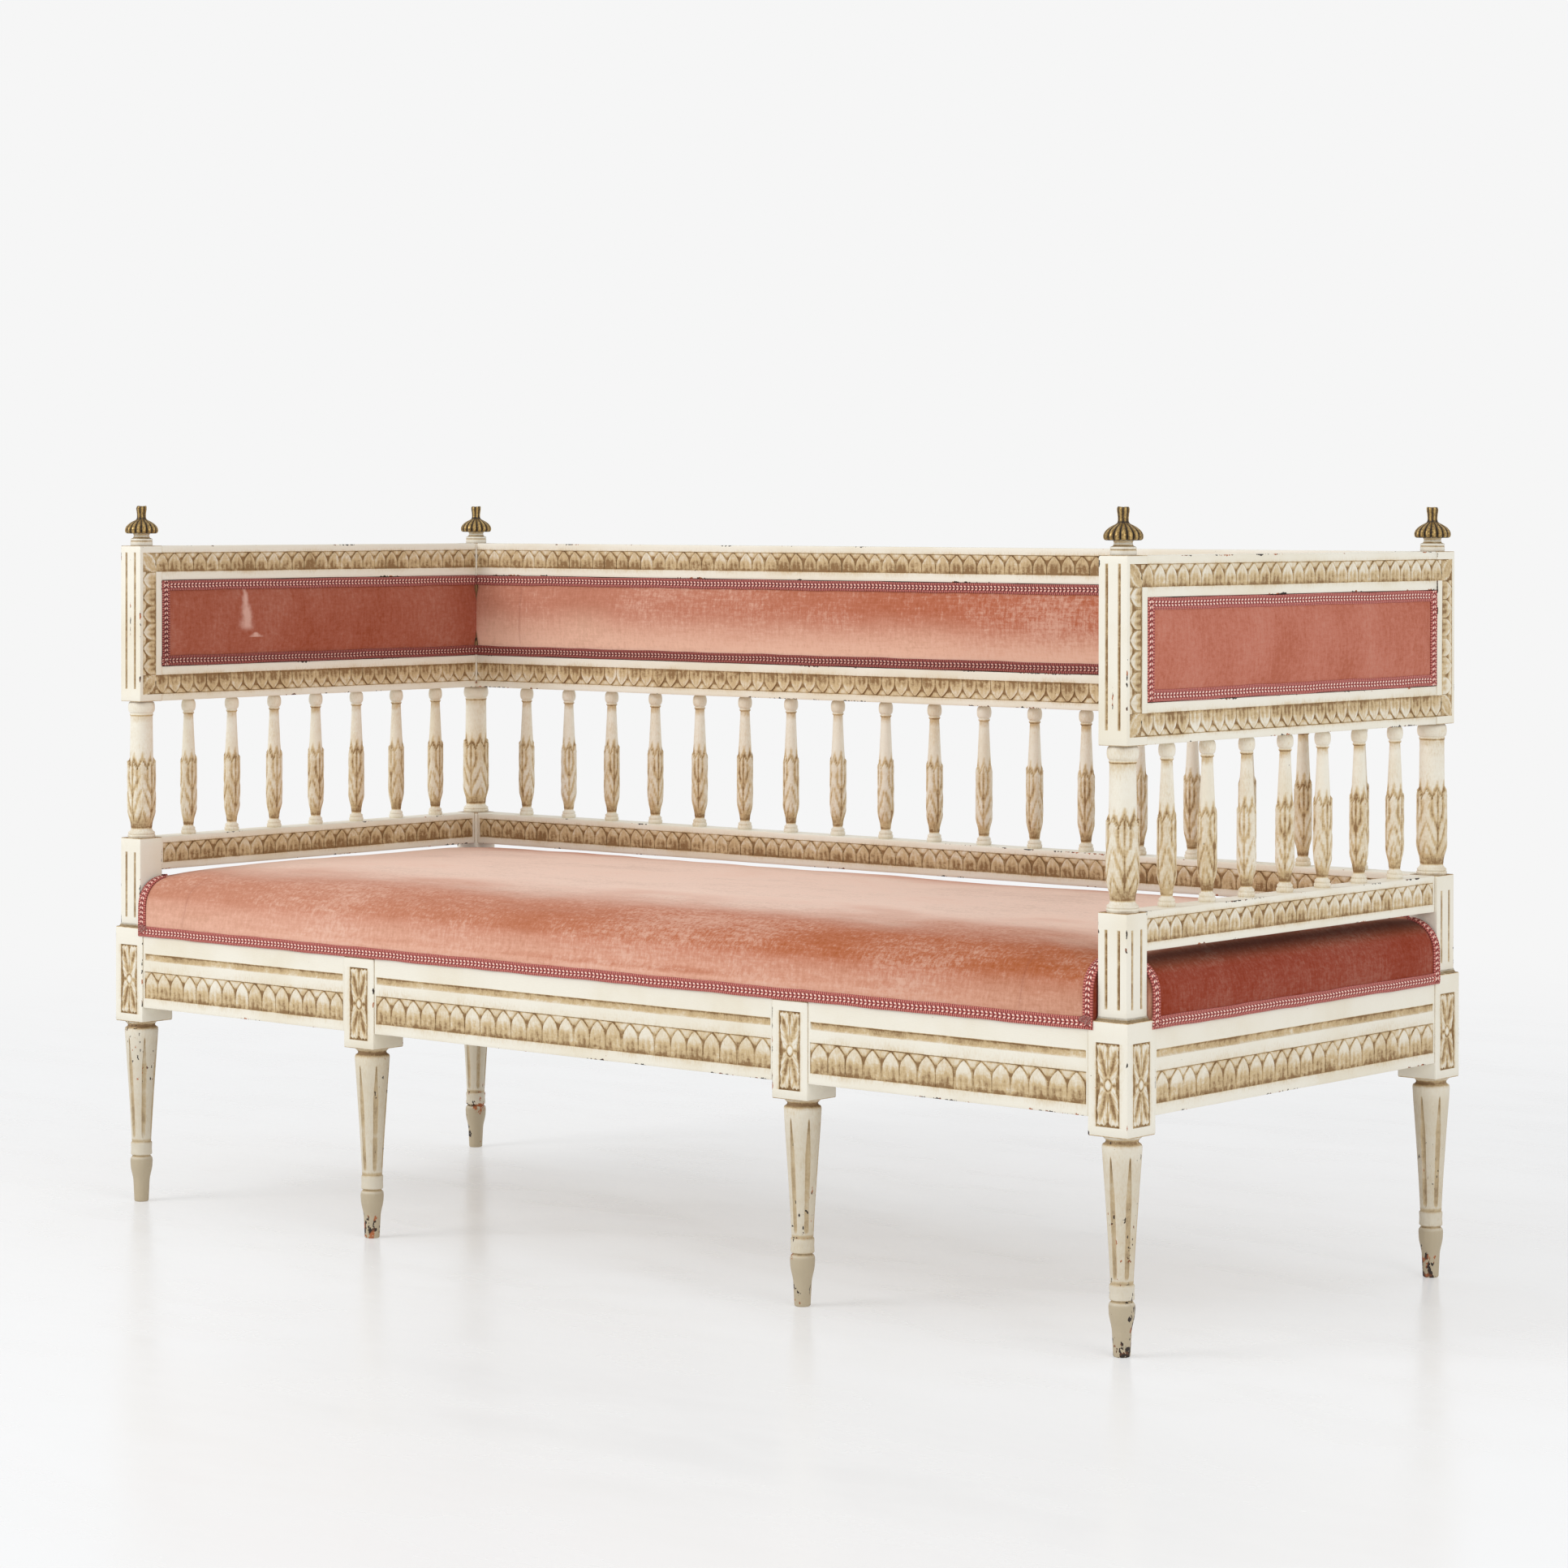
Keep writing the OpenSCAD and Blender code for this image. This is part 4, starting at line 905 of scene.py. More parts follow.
@dataclass
class Bar:
    """A straight bar with rounded arrises, and rows that sink in windows of its length.

    The section lies between (a0, b0) and (a1, b1). The bar runs along a third axis.
    """

    a0: float
    a1: float
    b0: float
    b1: float
    low: float
    high: float
    rows: dict[Face, list[Row]] = field(default_factory=dict)
    windows: list[Window] = field(default_factory=list)
    radius: float = 1.0
    seed: int = 1
    wobble: float = 0.22
    end_soft: float = 1.1
    open_corner: dict[int, tuple[Row, tuple[int, int]]] = field(default_factory=dict)

    def outline(self) -> tuple[Array, Array, Array, Array, Array]:
        """The section's outline, anticlockwise.

        Each corner is an arc of three points between two points 2.5 mm along its faces, with
        wear on the arc. Rows come between the corners, in order.

        Returns:
            Points, sink vectors, wash, wear and window numbers.
        """
        a, b, r = (self.a0, self.a1), (self.b0, self.b1), self.radius
        corners = np.array([(a[0], b[0]), (a[1], b[0]), (a[1], b[1]), (a[0], b[1])])
        ways = np.array([(1, 0), (0, 1), (-1, 0), (0, -1)])
        found = []
        for k, corner in enumerate(corners):
            before, after, inward = ways[k - 1], ways[k], ways[(k + 1) % 4]
            opened, facing = self.open_corner.get(k, (Row(0.0), (0, 0)))
            sink = np.multiply(facing, opened.sink)
            arc = (
                (before * (-r - 2.6), 0.0), (before * -r, 0.85), ((after - before) * r * 0.29, 1.0),
                (after * r, 0.85), (after * (r + 2.6), 0.0),
            )
            found += [(corner + step, sink, opened.wash, worn, opened.window) for step, worn in arc]
            order = sorted(self.rows.get(Face(k), []), key=lambda row: row.pos * (1 if k < 2 else -1))
            for row in order:
                spot = (corner[0], row.pos) if k % 2 else (row.pos, corner[1])
                found.append((spot, inward * row.sink, row.wash, row.wear, row.window))
        return tuple(np.array(part, float) for part in zip(*found))

    def grid(self, order: tuple[int, int, int] = (1, 2, 0)) -> tuple[Array, Array, Array]:
        """The bar's surface.

        Args:
            order: local axis of the section's a and b and of the length, so (1, 2, 0) is a
                rail whose a is y and b is z, and (0, 1, 2) an upright.

        Returns:
            Grid of local points, wash and wear.
        """
        pts, sinks, wash, wear, window = self.outline()
        own = np.arange(self.low, self.high, 28.0)
        ends = [self.low, self.low + self.end_soft, self.high - self.end_soft, self.high]
        s = np.unique(np.concatenate([own, ends, *[w.stations() for w in self.windows]]))
        s = s[(s >= self.low) & (s <= self.high)]
        deep = np.zeros((len(s), len(pts)))
        for k, win in enumerate(self.windows):
            deep[:, window == k] += win.depth(s)[:, None]
        flat = pts[None] + sinks[None] * deep[..., None]
        away = flat - np.array([self.a0 + self.a1, self.b0 + self.b1]) / 2
        shrink = np.where((s == self.low) | (s == self.high), self.end_soft * 0.5, 0.0)
        flat = flat - np.sign(away) * np.minimum(np.abs(away), shrink[:, None, None])
        grid = line(flat[..., 0], flat[..., 1], s[:, None])[..., np.argsort(order)]
        shifts = [np.abs(waves(grid, self.seed + k, 300.0)) for k in range(2)]
        hold = smooth(np.minimum(s - self.low, self.high - s), 0.0, 25.0)[:, None] * self.wobble * 0.5
        for k, shift in enumerate(shifts):
            grid[..., order[k]] -= shift * hold * np.sign(away[..., k])
        at_end = (shrink > 0)[:, None]
        rubbed = np.maximum(wash[None] * deep, 0.95 * at_end)
        return grid, rubbed, np.maximum(wear + 0 * deep, 0.7 * at_end)

    def add_to(self, shell: Shell, place: Place, order: tuple[int, int, int] = (1, 2, 0)) -> None:
        """Adds the bar to a shell at a place."""
        grid, wash, wear = self.grid(order)
        shell.add(place.put(grid), wash=wash, wear=wear)


def sunk_field(low: float, high: float, sink: float, wash: float = 0.8) -> list[Row]:
    """Rows of a flat field with steep walls between low and high."""
    wall, lip = 0.3, 1.2
    half = [Row(low - lip, wash=0.15), Row(low, wash=0.3, wear=0.35), Row(low + wall, sink, wash)]
    return half + [replace(row, pos=low + high - row.pos) for row in reversed(half)]


def hollow(mid: float, half: float, sink: float, window: int = 0, wash: float = 0.9) -> list[Row]:
    """Rows of a round-bottomed flute: depth is a half circle across its width."""
    shares = (-1.0, -0.8, -0.42, 0.0, 0.42, 0.8, 1.0)
    tones = (0.0, 0.45, 0.9, 1.0, 0.9, 0.45, 0.0)
    rows = [
        Row(mid + half * k, sink * math.sqrt(1 - k * k), wash * tone, window=window)
        for k, tone in zip(shares, tones)
    ]
    return [Row(mid - half - 0.6, window=window), *rows, Row(mid + half + 0.6, window=window)]


class LeafStyle(Enum):
    """Cut of a leaf in a band: with a raised rim, or as a smooth dome."""

    RIMMED = 1
    DOMED = 2


@dataclass(frozen=True)
class LeafBand:
    """Run of pointed leaves cut in low relief, side by side, in a sunk field."""

    width: float
    pitch: float
    style: LeafStyle = LeafStyle.RIMMED
    depth: float = 1.9

    ROWS = np.array([0.0, 0.05, 0.17, 0.32, 0.45, 0.57, 0.68, 0.78, 0.86, 0.925, 0.96, 1.0])
    COLUMNS = np.array([-1.5, -1.14, -1.0, -0.7, -0.36, 0.0, 0.36, 0.7, 1.0, 1.14, 1.5])

    def half_width(self) -> Array:
        """Half the leaf's width at each row, as a share of the pitch: a blunt pointed arch."""
        start, power = (0.34, 2.5) if self.style is LeafStyle.DOMED else (0.28, 2.2)
        rise = np.clip((self.ROWS - start) / (0.95 - start), 0.0, 1.0)
        return np.maximum(0.455 * (1.0 - rise**power), 0.02)

    def leaf(self) -> tuple[Array, Array]:
        """Height over the ground and wash of one leaf, at columns by rows.

        The body is a soft ridge, with a raised rim where it is rimmed. Gouges run up from the
        base and fade at two thirds of the height. The columns beside the leaf and the rows
        past its tip lie in the ground. The outermost columns are the sides of the tongues.
        """
        f = self.COLUMNS[:, None]
        t = self.ROWS[None, :]
        far = np.abs(f)
        low = 1.0 - smooth(t, 0.3, 0.66)
        gouge = hump(far, 0.36, 0.14)
        if self.style is LeafStyle.RIMMED:
            body = 0.78 + 0.16 * far**3 + 0.08 * (1 - far)
            wash = 0.22 - 0.1 * far**4 + 0.06 * (far == 0.36)
            cut = 0.3
        else:
            body = 0.98 - 0.3 * far**2.4
            wash = 0.2 + 0.04 * far**3
            cut = 0.4
        height = body - cut * gouge * low - 0.25 * (1 - smooth(t, 0.0, 0.2))
        height = height - 0.16 * np.cos(np.pi * np.clip(t, 0, 1)) * (t > 0.1)
        wash = wash + low * (0.24 + 0.28 * gouge) + 0.34 * (t < 0.08)
        past = np.maximum(smooth(t, 0.925, 0.96), (far > 1.0).astype(float))
        height = height * (1 - past) + 0.1 * past
        ground = 0.9 if self.style is LeafStyle.DOMED else 0.84
        wash = wash * (1 - past) + (ground - 0.3 * low) * past
        gap_h, gap_w = self.gap()
        for k in (0, -1):
            height[k], wash[k] = gap_h * 0.95, gap_w
        return np.clip(height, 0.04, 1.05), np.clip(wash, 0.04, 1.0)

    def gap(self) -> tuple[Array, Array]:
        """Height and wash along the line between two leaves.

        It is a groove with a small tongue at its open end.
        """
        t = self.ROWS
        open_part = smooth(t, 0.36, 0.6)
        height = 0.2 * (1 - open_part) + 0.04
        wash = 0.62 + 0.36 * open_part
        tongue = smooth(t, 0.7, 0.8) * (1 - smooth(t, 0.95, 1.0))
        return height + 0.6 * tongue, wash - 0.72 * tongue

    def carve(self, shell: Shell, face: Place, length: float, seed: int, stain: float = 0.0) -> None:
        """Adds a run of leaves.

        Args:
            shell: shell that it is added to.
            face: frame at the leaves' base on the wood's face: x along the run, z to the tips.
            length: length of the run.
            seed: seed of the carver's small errors.
            stain: how much more wash the leaves hold.
        """
        rng = np.random.default_rng(seed)
        count = max(1, round(length / self.pitch))
        step = length / count
        rows, k = len(self.ROWS), len(self.COLUMNS)
        height, wash = self.leaf()
        gap_h, gap_w = self.gap()
        wide = 1 + rng.normal(0, 0.03, (count, 1, 1))
        middle = (np.arange(count) + 0.5 + rng.normal(0, 0.018, count)) * step
        lean = rng.normal(0, 0.03, (count, 1, 1)) * step * self.ROWS
        off = self.COLUMNS[None, :, None] * self.half_width() * step * wide
        off = np.clip(off, -0.462 * step, 0.462 * step)
        off[:, -1:] = off[:, -2:-1] * 0.55 + 0.225 * step
        off[:, :1] = off[:, 1:2] * 0.55 - 0.225 * step
        leaf = middle[:, None, None] + off + lean * smooth(self.ROWS, 0.3, 1.0)
        gap = (np.arange(count + 1) * step)[:, None, None] * np.ones((1, 1, rows))
        gap[1:-1] += rng.normal(0, 0.015, (count - 1, 1, 1)) * step
        lift = 1 + rng.normal(0, 0.06, (count, 1, 1))
        tone = stain + rng.normal(0, 0.05, (count, 1, 1))

        def woven(leaf: Array, gap: Array) -> Array:
            """Puts each gap column before its leaf's columns, and the last gap at the end."""
            gap = np.broadcast_to(gap, (count + 1, 1, rows))
            body = np.concatenate([gap[:-1], leaf], axis=1).reshape(count * (k + 1), rows)
            return np.vstack([body, gap[-1]])

        s = np.clip(woven(leaf, gap), 0.0, length)
        h, w = woven(height * lift, gap_h), woven(wash + tone, gap_w)
        reach = np.ones_like(s)
        reach[:, 8:10] += rng.normal(0, 0.012, (len(s), 1)) * 0.5
        t = self.ROWS * reach * self.width
        t[:, -1] = self.width
        shell.slab(face, s, h, t, w, self.depth, 0.12)


def relief_slab(
    shell: Shell, face: Place, size: tuple[float, float], cells: tuple[int, int],
    shape: Callable[[Array, Array], tuple[Array, Array]],
) -> None:
    """Adds a small carved panel, cut to the depth of the bands.

    Args:
        shell: shell that it is added to.
        face: frame at the panel's corner on the wood's face: x and z along its sides.
        size: width and height.
        cells: number of cells each way.
        shape: gives height over the ground and wash from s and t, each from -1 to 1.
    """
    s, t = np.meshgrid(*(np.linspace(0, 1, count + 1) for count in cells), indexing="ij")
    height, wash = shape(s * 2 - 1, t * 2 - 1)
    shell.slab(face, s * size[0], height, t * size[1], wash, SINK, 0.1)


def rosette(s: Array, t: Array) -> tuple[Array, Array]:
    """Carved flower of the blocks: four broad petals that fill the field, and an oval boss.

    Each petal lies on a line from the middle to near a corner. A deep groove runs down its
    middle. Its rim is cut in lobes, and the ground shows in dark notches at the middle of
    each side.

    Args:
        s: place across the panel, from -1 to 1.
        t: place up the panel, from -1 to 1.

    Returns:
        Height from 0 to 1 and wash.
    """
    x, z = s * 16.5, t * 47.5
    ax, az = np.abs(x), np.abs(z)
    lean = math.radians(15.5)
    a = ax * math.sin(lean) + az * math.cos(lean)
    b = ax * math.cos(lean) - az * math.sin(lean)
    groove = hump(b, 0.0, 1.1 + 2.5 * np.sin(np.pi * np.clip(a / 50, 0, 1)))
    groove = groove * smooth(a, 4, 12) * smooth(-a, -46, -36)
    vein = np.clip(np.cos(a * 0.62 - np.abs(b) * 1.1), 0, 1) ** 3 * smooth(np.abs(b), 1.5, 3.5)
    side_rim = 15.6 - 1.7 * np.abs(np.sin(az * 0.2 + 0.7)) - 3.0 * smooth(-az, -20.0, -8.0)
    end_rim = 46.4 - 1.9 * np.abs(np.sin(ax * 0.55 + 0.2)) - 4.5 * smooth(-ax, -3.2, 0.0)
    inside = smooth(side_rim - ax, -0.5, 0.7) * smooth(end_rim - az, -0.5, 0.8)
    crease = hump(ax, 0.0, 0.5 + 1.4 * smooth(az, 22, 42)) * smooth(az, 8, 14)
    waist = hump(az, 0.0, 2.2) * smooth(ax, 4.5, 7.0)
    height = 0.9 - 0.62 * groove - 0.16 * vein - 0.5 * crease - 0.55 * waist
    height = 0.1 + height * inside
    ball = np.hypot(x / 4.3, z / 5.8)
    boss = np.sqrt(np.clip(1 - ball**2, 0, 1))
    moat = smooth(-ball, -1.7, -1.1) * (ball > 1.0)
    height = height * (1 - moat * 0.6)
    height = np.where(boss > 0, 0.35 + 0.7 * boss, height)
    wash = 0.17 + 0.7 * groove**1.3 + 0.24 * vein + 0.5 * crease + 0.7 * waist
    wash = np.maximum(wash * inside, 0.92 - 0.92 * inside)
    wash = np.maximum(wash, moat * 0.9)
    wash = np.where(boss > 0, 0.5 - 0.45 * boss, wash)
    edge = smooth(np.maximum(np.abs(s), np.abs(t)), 0.965, 1.0)
    return np.clip(height, 0.05, 1.05) * (1 - 0.5 * edge), np.clip(wash, 0, 1)


def corner_leaf(s: Array, t: Array) -> tuple[Array, Array]:
    """Leaf on the diagonal of a square corner, with a midrib and a raised rim on each side."""
    u, v = (s + 1) / 2, (t + 1) / 2
    d, off = (u + v) / 2, np.abs(u - v)
    half = 0.52 * np.sin(np.pi * np.clip(d * 0.94 + 0.03, 0, 1)) ** 0.8
    ratio = np.clip(off / np.maximum(half, 0.02), 0, 1.6)
    rim = hump(ratio, 0.92, 0.16)
    body = 0.55 * (ratio < 1.05) + 0.35 * rim
    rib = hump(off, 0.0, 0.045) * smooth(d, 0.08, 0.2) * smooth(d, 0.92, 0.8)
    height = np.clip(0.1 + body + 0.25 * rib * (ratio < 1), 0.05, 1)
    return height, np.clip(0.95 - 0.75 * height + 0.1 * (ratio < 0.6), 0.1, 1)


def revolve(
    shell: Shell, centre: Vec, z: Array, radius: Array, angle: Array,
    wash: Array | float = 0.0, wear: Array | float = 0.0,
) -> None:
    """Adds a turned solid: x and y are the radius times the cosine and sine of the angle.

    Args:
        shell: shell that it is added to.
        centre: point of the axis from which z counts.
        z: heights of the rows, or at rows by angles.
        radius: radius at rows by angles, or at rows.
        angle: angles at rows by columns, or for all rows.
        wash: wash mark.
        wear: wear mark.
    """
    z, radius = (np.asarray(part, float).reshape(len(part), -1) for part in (z, radius))
    grid = line(radius * np.cos(angle), radius * np.sin(angle), z) + np.asarray(centre, float)
    shell.add(grid, wash=wash, wear=wear)


def profile(points: Sequence[tuple[float, float]], step: float) -> tuple[Array, Array]:
    """Fine profile through given heights and radii, along straight lines between them.

    Args:
        points: heights and radii.
        step: longest distance between two rows.

    Returns:
        Heights and radii.
    """
    given = np.array(points, float)
    found = [given[:1]]
    for low, high in zip(given[:-1], given[1:]):
        count = max(1, math.ceil(math.dist(low, high) / step))
        found.append(low + (high - low) * (np.arange(1, count + 1) / count)[:, None])
    return tuple(np.vstack(found).T)


def bead(z0: float, z1: float, r_in: float, r_out: float, steps: int = 6) -> list[tuple[float, float]]:
    """Half-round bead: the radius rises from r_in to r_out and back as a half sine."""
    k = np.arange(steps + 1) / steps
    z = z0 + (z1 - z0) * (1 - np.cos(np.pi * k)) / 2
    return list(zip(z, r_in + (r_out - r_in) * np.sin(np.pi * k)))


def ease(z0: float, r0: float, z1: float, r1: float, steps: int = 6) -> list[tuple[float, float]]:
    """Soft change of radius: half a cosine from r0 to r1."""
    k = np.arange(steps + 1) / steps
    return list(zip(z0 + (z1 - z0) * k, r0 + (r1 - r0) * (1 - np.cos(np.pi * k)) / 2))


@dataclass(frozen=True)
class FlutedLeg:
    """Turned leg: a toe, a vase, a ring, a tapered shaft with six flutes and a lip."""

    flutes: int = 6
    taper: tuple[float, float] = (84.0, 239.0)
    top_d: float = 46.0
    low_d: float = 26.0

    def add_to(self, shell: Shell, place: Place, seed: int) -> None:
        """Adds the leg under a block.

        The angles of each row are drawn together at the flutes, so that a flute's walls follow
        the same columns from end to end, and its depth is a half circle across its width.

        Args:
            shell: shell that it is added to.
            place: frame on the leg's axis.
            seed: seed of the small errors of the lathe.
        """
        low, top = self.low_d / 2, self.top_d / 2
        outline = [(0.0, 8.2), (0.6, 9.3), (1.6, 9.8), (14.0, 10.4)]
        outline += ease(26.0, 11.0, 52.0, 15.0, 7) + [(56.0, 15.25), (59.5, 14.9), (61.6, 13.6)]
        outline += [(62.8, 12.0), (64.0, 12.0), (64.3, 13.4), (65.2, 14.3), (66.5, 14.5)]
        outline += [(73.0, 14.1), (79.5, 14.5), (81.3, 14.3), (82.2, 13.4), (82.9, 12.9)]
        z, r = profile(outline, 2.0)
        shaft_z = np.linspace(84.5, 236.5, 56)
        k = (shaft_z - self.taper[0]) / (self.taper[1] - self.taper[0])
        shaft_r = low + (top - low) * k**1.15 + 0.25
        head = [(238.6, top - 0.15), (240.2, top - 0.9), (241.6, top - 3.2), (243.2, top - 4.4)]
        head += [(245.0, top - 4.2), (246.8, top - 2.6), (248.2, top - 1.0), (250.6, top - 0.6)]
        z_head, r_head = profile(head, 1.6)
        z = np.concatenate([z, shaft_z, z_head])
        r = np.concatenate([r, shaft_r, r_head])
        start, stop = self.taper[0] + 5.0, self.taper[1] - 11.0
        fade = np.clip(np.minimum(z - start, (stop - z) * 0.5) / 3.4, 0, 1)
        fade = np.sqrt(1 - (1 - fade) ** 2)
        inside = ((z > start) & (z < stop))[:, None]
        run = np.clip((z - start) / (stop - start), 0, 1)
        half = (2.5 + 1.1 * run) * (0.35 + 0.65 * fade) * (0.3 + 0.7 * smooth(stop - z, 0.0, 50.0))
        x = np.array([-1.22, -1.0, -0.84, -0.5, 0.0, 0.5, 0.84, 1.0, 1.22])
        sector = 2 * np.pi / self.flutes
        middles = (np.arange(self.flutes) + 0.5) * sector
        local = x * (half / r)[:, None]
        mids = np.array([-0.5, -0.36]) * sector * np.ones((len(z), 1))
        local = np.hstack([mids, local, -mids[:, 1:]])
        angle = (middles[None, :, None] + local[:, None, :]).reshape(len(z), -1)
        bowl = np.concatenate([[0, 0], np.sqrt(np.clip(1 - x**2, 0, 1)), [0]])
        share = fade[:, None] * inside
        deep = np.tile(bowl, self.flutes) * (1.9 + 0.5 * run)[:, None] * share
        around = np.random.default_rng(seed).normal(0, 0.05, (1, angle.shape[1]))
        radius = r[:, None] - deep + around * inside
        smear = np.array([0, 0, 0.16, 0.45, 0.62, 0.7, 0.74, 0.7, 0.62, 0.45, 0.16, 0])
        stain = np.tile(smear, self.flutes) * share
        stain = stain * (0.72 + 0.18 * np.sin(z * 0.11 + seed)[:, None])
        cove = 0.95 * hump(z, 243.4, 3.2) + 0.75 * hump(z, 63.4, 1.2)
        cove += 0.6 * hump(z, 83.6, 1.6) + 0.12
        toe = 0.2 * smooth(-z, -30.0, -2.0) + 0.3 * smooth(-z, -7.0, 0.0)
        wash = np.maximum(stain, (cove + toe)[:, None] + 0 * angle)
        worn = np.abs(np.gradient(np.gradient(r))) * 2.0
        worn = np.clip(np.maximum(worn, 0.5 + 0.45 * smooth(-z, -90.0, -50.0)), 0, 1)[:, None]
        revolve(shell, place.origin, z, radius, angle, np.clip(wash, 0, 1), worn)


@dataclass(frozen=True)
class LeafTurning:
    """Turned upright of the galleries whose lower half is cut as a bundle of leaves.

    The body stands out from the neck above it as far up as the leaves' edge, which goes up and
    down between tips and valleys round the upright. Veins in nested chevrons, midribs and the
    leaves' long edges are cut into the body.
    """

    base: list[tuple[float, float]]
    body: tuple[float, float]
    neck: tuple[float, float]
    head: list[tuple[float, float]]
    girth: float
    low_girth: float
    tips: int
    columns: int
    rows: int
    tip_h: float
    cut: float

    def add_to(self, shell: Shell, centre: Vec, turn: float, seed: int) -> None:
        """Adds the upright.

        Args:
            shell: shell that it is added to.
            centre: foot of its axis.
            turn: how far it is turned round its axis.
            seed: seed of the carver's small errors.
        """
        rng = np.random.default_rng(seed)
        z0, z1 = self.body
        z_base, r_base = profile(self.base, 1.8)
        k = np.linspace(0, 1, self.rows)
        k = np.where(k < 0.75, k * 0.9, 0.675 + (k - 0.75) * 1.3)
        z_body = z0 + (z1 - z0) * k
        swell = np.sin(np.pi * np.clip(0.16 + k * 0.62, 0, 1)) ** 0.55
        r_body = self.low_girth + (self.girth - self.low_girth) * smooth(k, 0.0, 0.26)
        r_body = r_body * (0.965 + 0.035 * swell)
        z_neck = np.linspace(z1 + 4.0, self.neck[0], 7)
        z_head, r_head = profile(self.head, 1.6)
        z = np.concatenate([z_base, z_body, z_neck, z_head])
        first, last = len(z_base), len(z_base) + len(z_body)
        angle = np.linspace(0, 2 * np.pi, self.columns, endpoint=False)
        neck_low = self.girth * 0.83
        share = np.clip((z - z1) / (self.neck[0] - z1), -0.4, 1)
        neck_r = neck_low + (self.neck[1] - neck_low) * np.maximum(share, 0) ** 0.9
        zz, aa = z[:, None], angle[None, :]
        tip_phase = np.mod(aa * self.tips / (2 * np.pi), 1.0)
        errors = rng.normal(0, 0.9, self.tips)
        which = np.floor(np.mod(aa * self.tips / (2 * np.pi), self.tips)).astype(int) % self.tips
        up_tip = 1 - np.abs(tip_phase * 2 - 1)
        edge = z1 - self.tip_h + (self.tip_h + errors[which]) * up_tip**0.85
        on_body = smooth(edge - zz, -0.9, 0.9)
        body_r = np.zeros(len(z))
        body_r[first:last] = r_body
        body_r[last:] = self.girth * 0.95
        body_r[:first] = r_base
        big = max(2, self.tips // 2)
        phase = np.mod(aa * big / (2 * np.pi) + 0.25, 1.0)
        side = np.abs(phase * 2 - 1)
        height = np.clip((zz - z0) / (z1 - z0), 0, 1)
        sway = rng.uniform(0.0, 0.12)
        bend = 0.05 * np.sin(height * 9.0 + 2.0 * np.pi * (which % big) / big + seed)
        chevron = np.cos(2 * np.pi * (height * 3.3 + (side + bend) * 1.35 + sway))
        vein = -0.8 * np.clip(chevron, 0, 1) ** 2.2 + 0.2 * np.clip(-chevron, 0, 1)
        vein = vein * smooth(height, 0.03, 0.16) * smooth(-height, -0.9, -0.62)
        midrib = 0.5 * hump(side, 0.0, 0.14) * smooth(height, 0.1, 0.22)
        seam = -1.0 * hump(side, 1.0, 0.09) * smooth(height, 0.05, 0.2)
        valley = -0.8 * hump(up_tip, 0.0, 0.2) * smooth(height, 0.4, 0.8)
        rim = 0.45 * hump(zz, edge, 2.6) * (zz < edge)
        relief = (vein + midrib + seam + valley + rim) * self.cut
        relief = relief * smooth(height, 0.0, 0.1)
        carved = body_r[:, None] + relief
        radius = neck_r[:, None] * (1 - on_body) + carved * on_body
        radius[:first] = r_base[:, None]
        radius[last + len(z_neck):] = r_head[:, None]
        near = hump(zz, edge, 7.5) * (zz > edge - 1.0)
        hollows = np.clip(-relief / self.cut, 0, 1)
        wash = np.where(on_body > 0.5, 0.22 + 0.6 * hollows, np.maximum(0.85 * near, 0.11))
        wash = wash + 0.5 * smooth(-height, -0.2, 0.0) * (on_body > 0.5)
        ring = hump(zz, z0 - 0.6, 1.8)
        wash[:first] = 0.15
        joint = hump(zz, self.head[0][0] + 0.3, 1.3)
        wash[last + len(z_neck):] = 0.12
        wash = np.maximum(wash, np.maximum(ring * 0.95, joint * 0.8))
        worn = 0.25 * (on_body > 0.5) + 0.35 * smooth(zz, z[-1] - 9, z[-1])
        revolve(shell, centre, z, radius, angle + turn, np.clip(wash, 0, 1), worn + 0 * aa)


def column_turning() -> LeafTurning:
    """The thick uprights between a post's stile and its head."""
    r = 19.2
    base = [(-1.0, r * 0.93), (0.6, r * 0.955)]
    base += bead(1.0, 4.6, r * 0.93, r * 0.99, 5) + bead(4.9, 7.9, r * 0.9, r * 0.955, 5)
    base += [(8.6, r * 0.86), (9.8, r * 0.8), (11.6, r * 0.75), (14.0, r * 0.745)]
    head = bead(168.0, 171.2, 15.3, 16.0, 4)
    head += bead(171.8, 187.0, 15.6, r * 0.955, 9) + [(188.4, r * 0.84)]
    return LeafTurning(
        base, (15.0, 107.0), (167.0, 15.2), head, r, r * 0.77, 8, 64, 62, 13.0, 1.0
    )


def spindle_turning() -> LeafTurning:
    """The thin uprights of the galleries."""
    r = 11.5
    base = [(-1.0, r * 0.8), (0.4, r * 0.84)] + bead(0.6, 5.6, r * 0.82, r * 0.9, 5)
    base += bead(6.0, 9.6, r * 0.76, r * 0.82, 4) + [(10.4, r * 0.66), (11.6, r * 0.6), (14.0, r * 0.6)]
    head = bead(167.6, 170.8, r * 0.6, r * 0.69, 4)
    head += bead(171.4, 187.2, r * 0.62, r * 0.865, 8) + [(188.4, r * 0.66)]
    return LeafTurning(
        base, (14.8, 107.0), (166.8, r * 0.57), head, r, r * 0.64, 6, 36, 40, 12.0, 0.8
    )


FRAME_BAND = LeafBand(26.5, 23.4)
LOWER_BAND = LeafBand(27.1, 23.4)
POST_BAND = LeafBand(23.8, 23.6)
SEAT_BAND = LeafBand(36.7, 26.8, LeafStyle.DOMED, 2.1)
SINK = 1.9
STUB = 10.9
RIM = 9.5


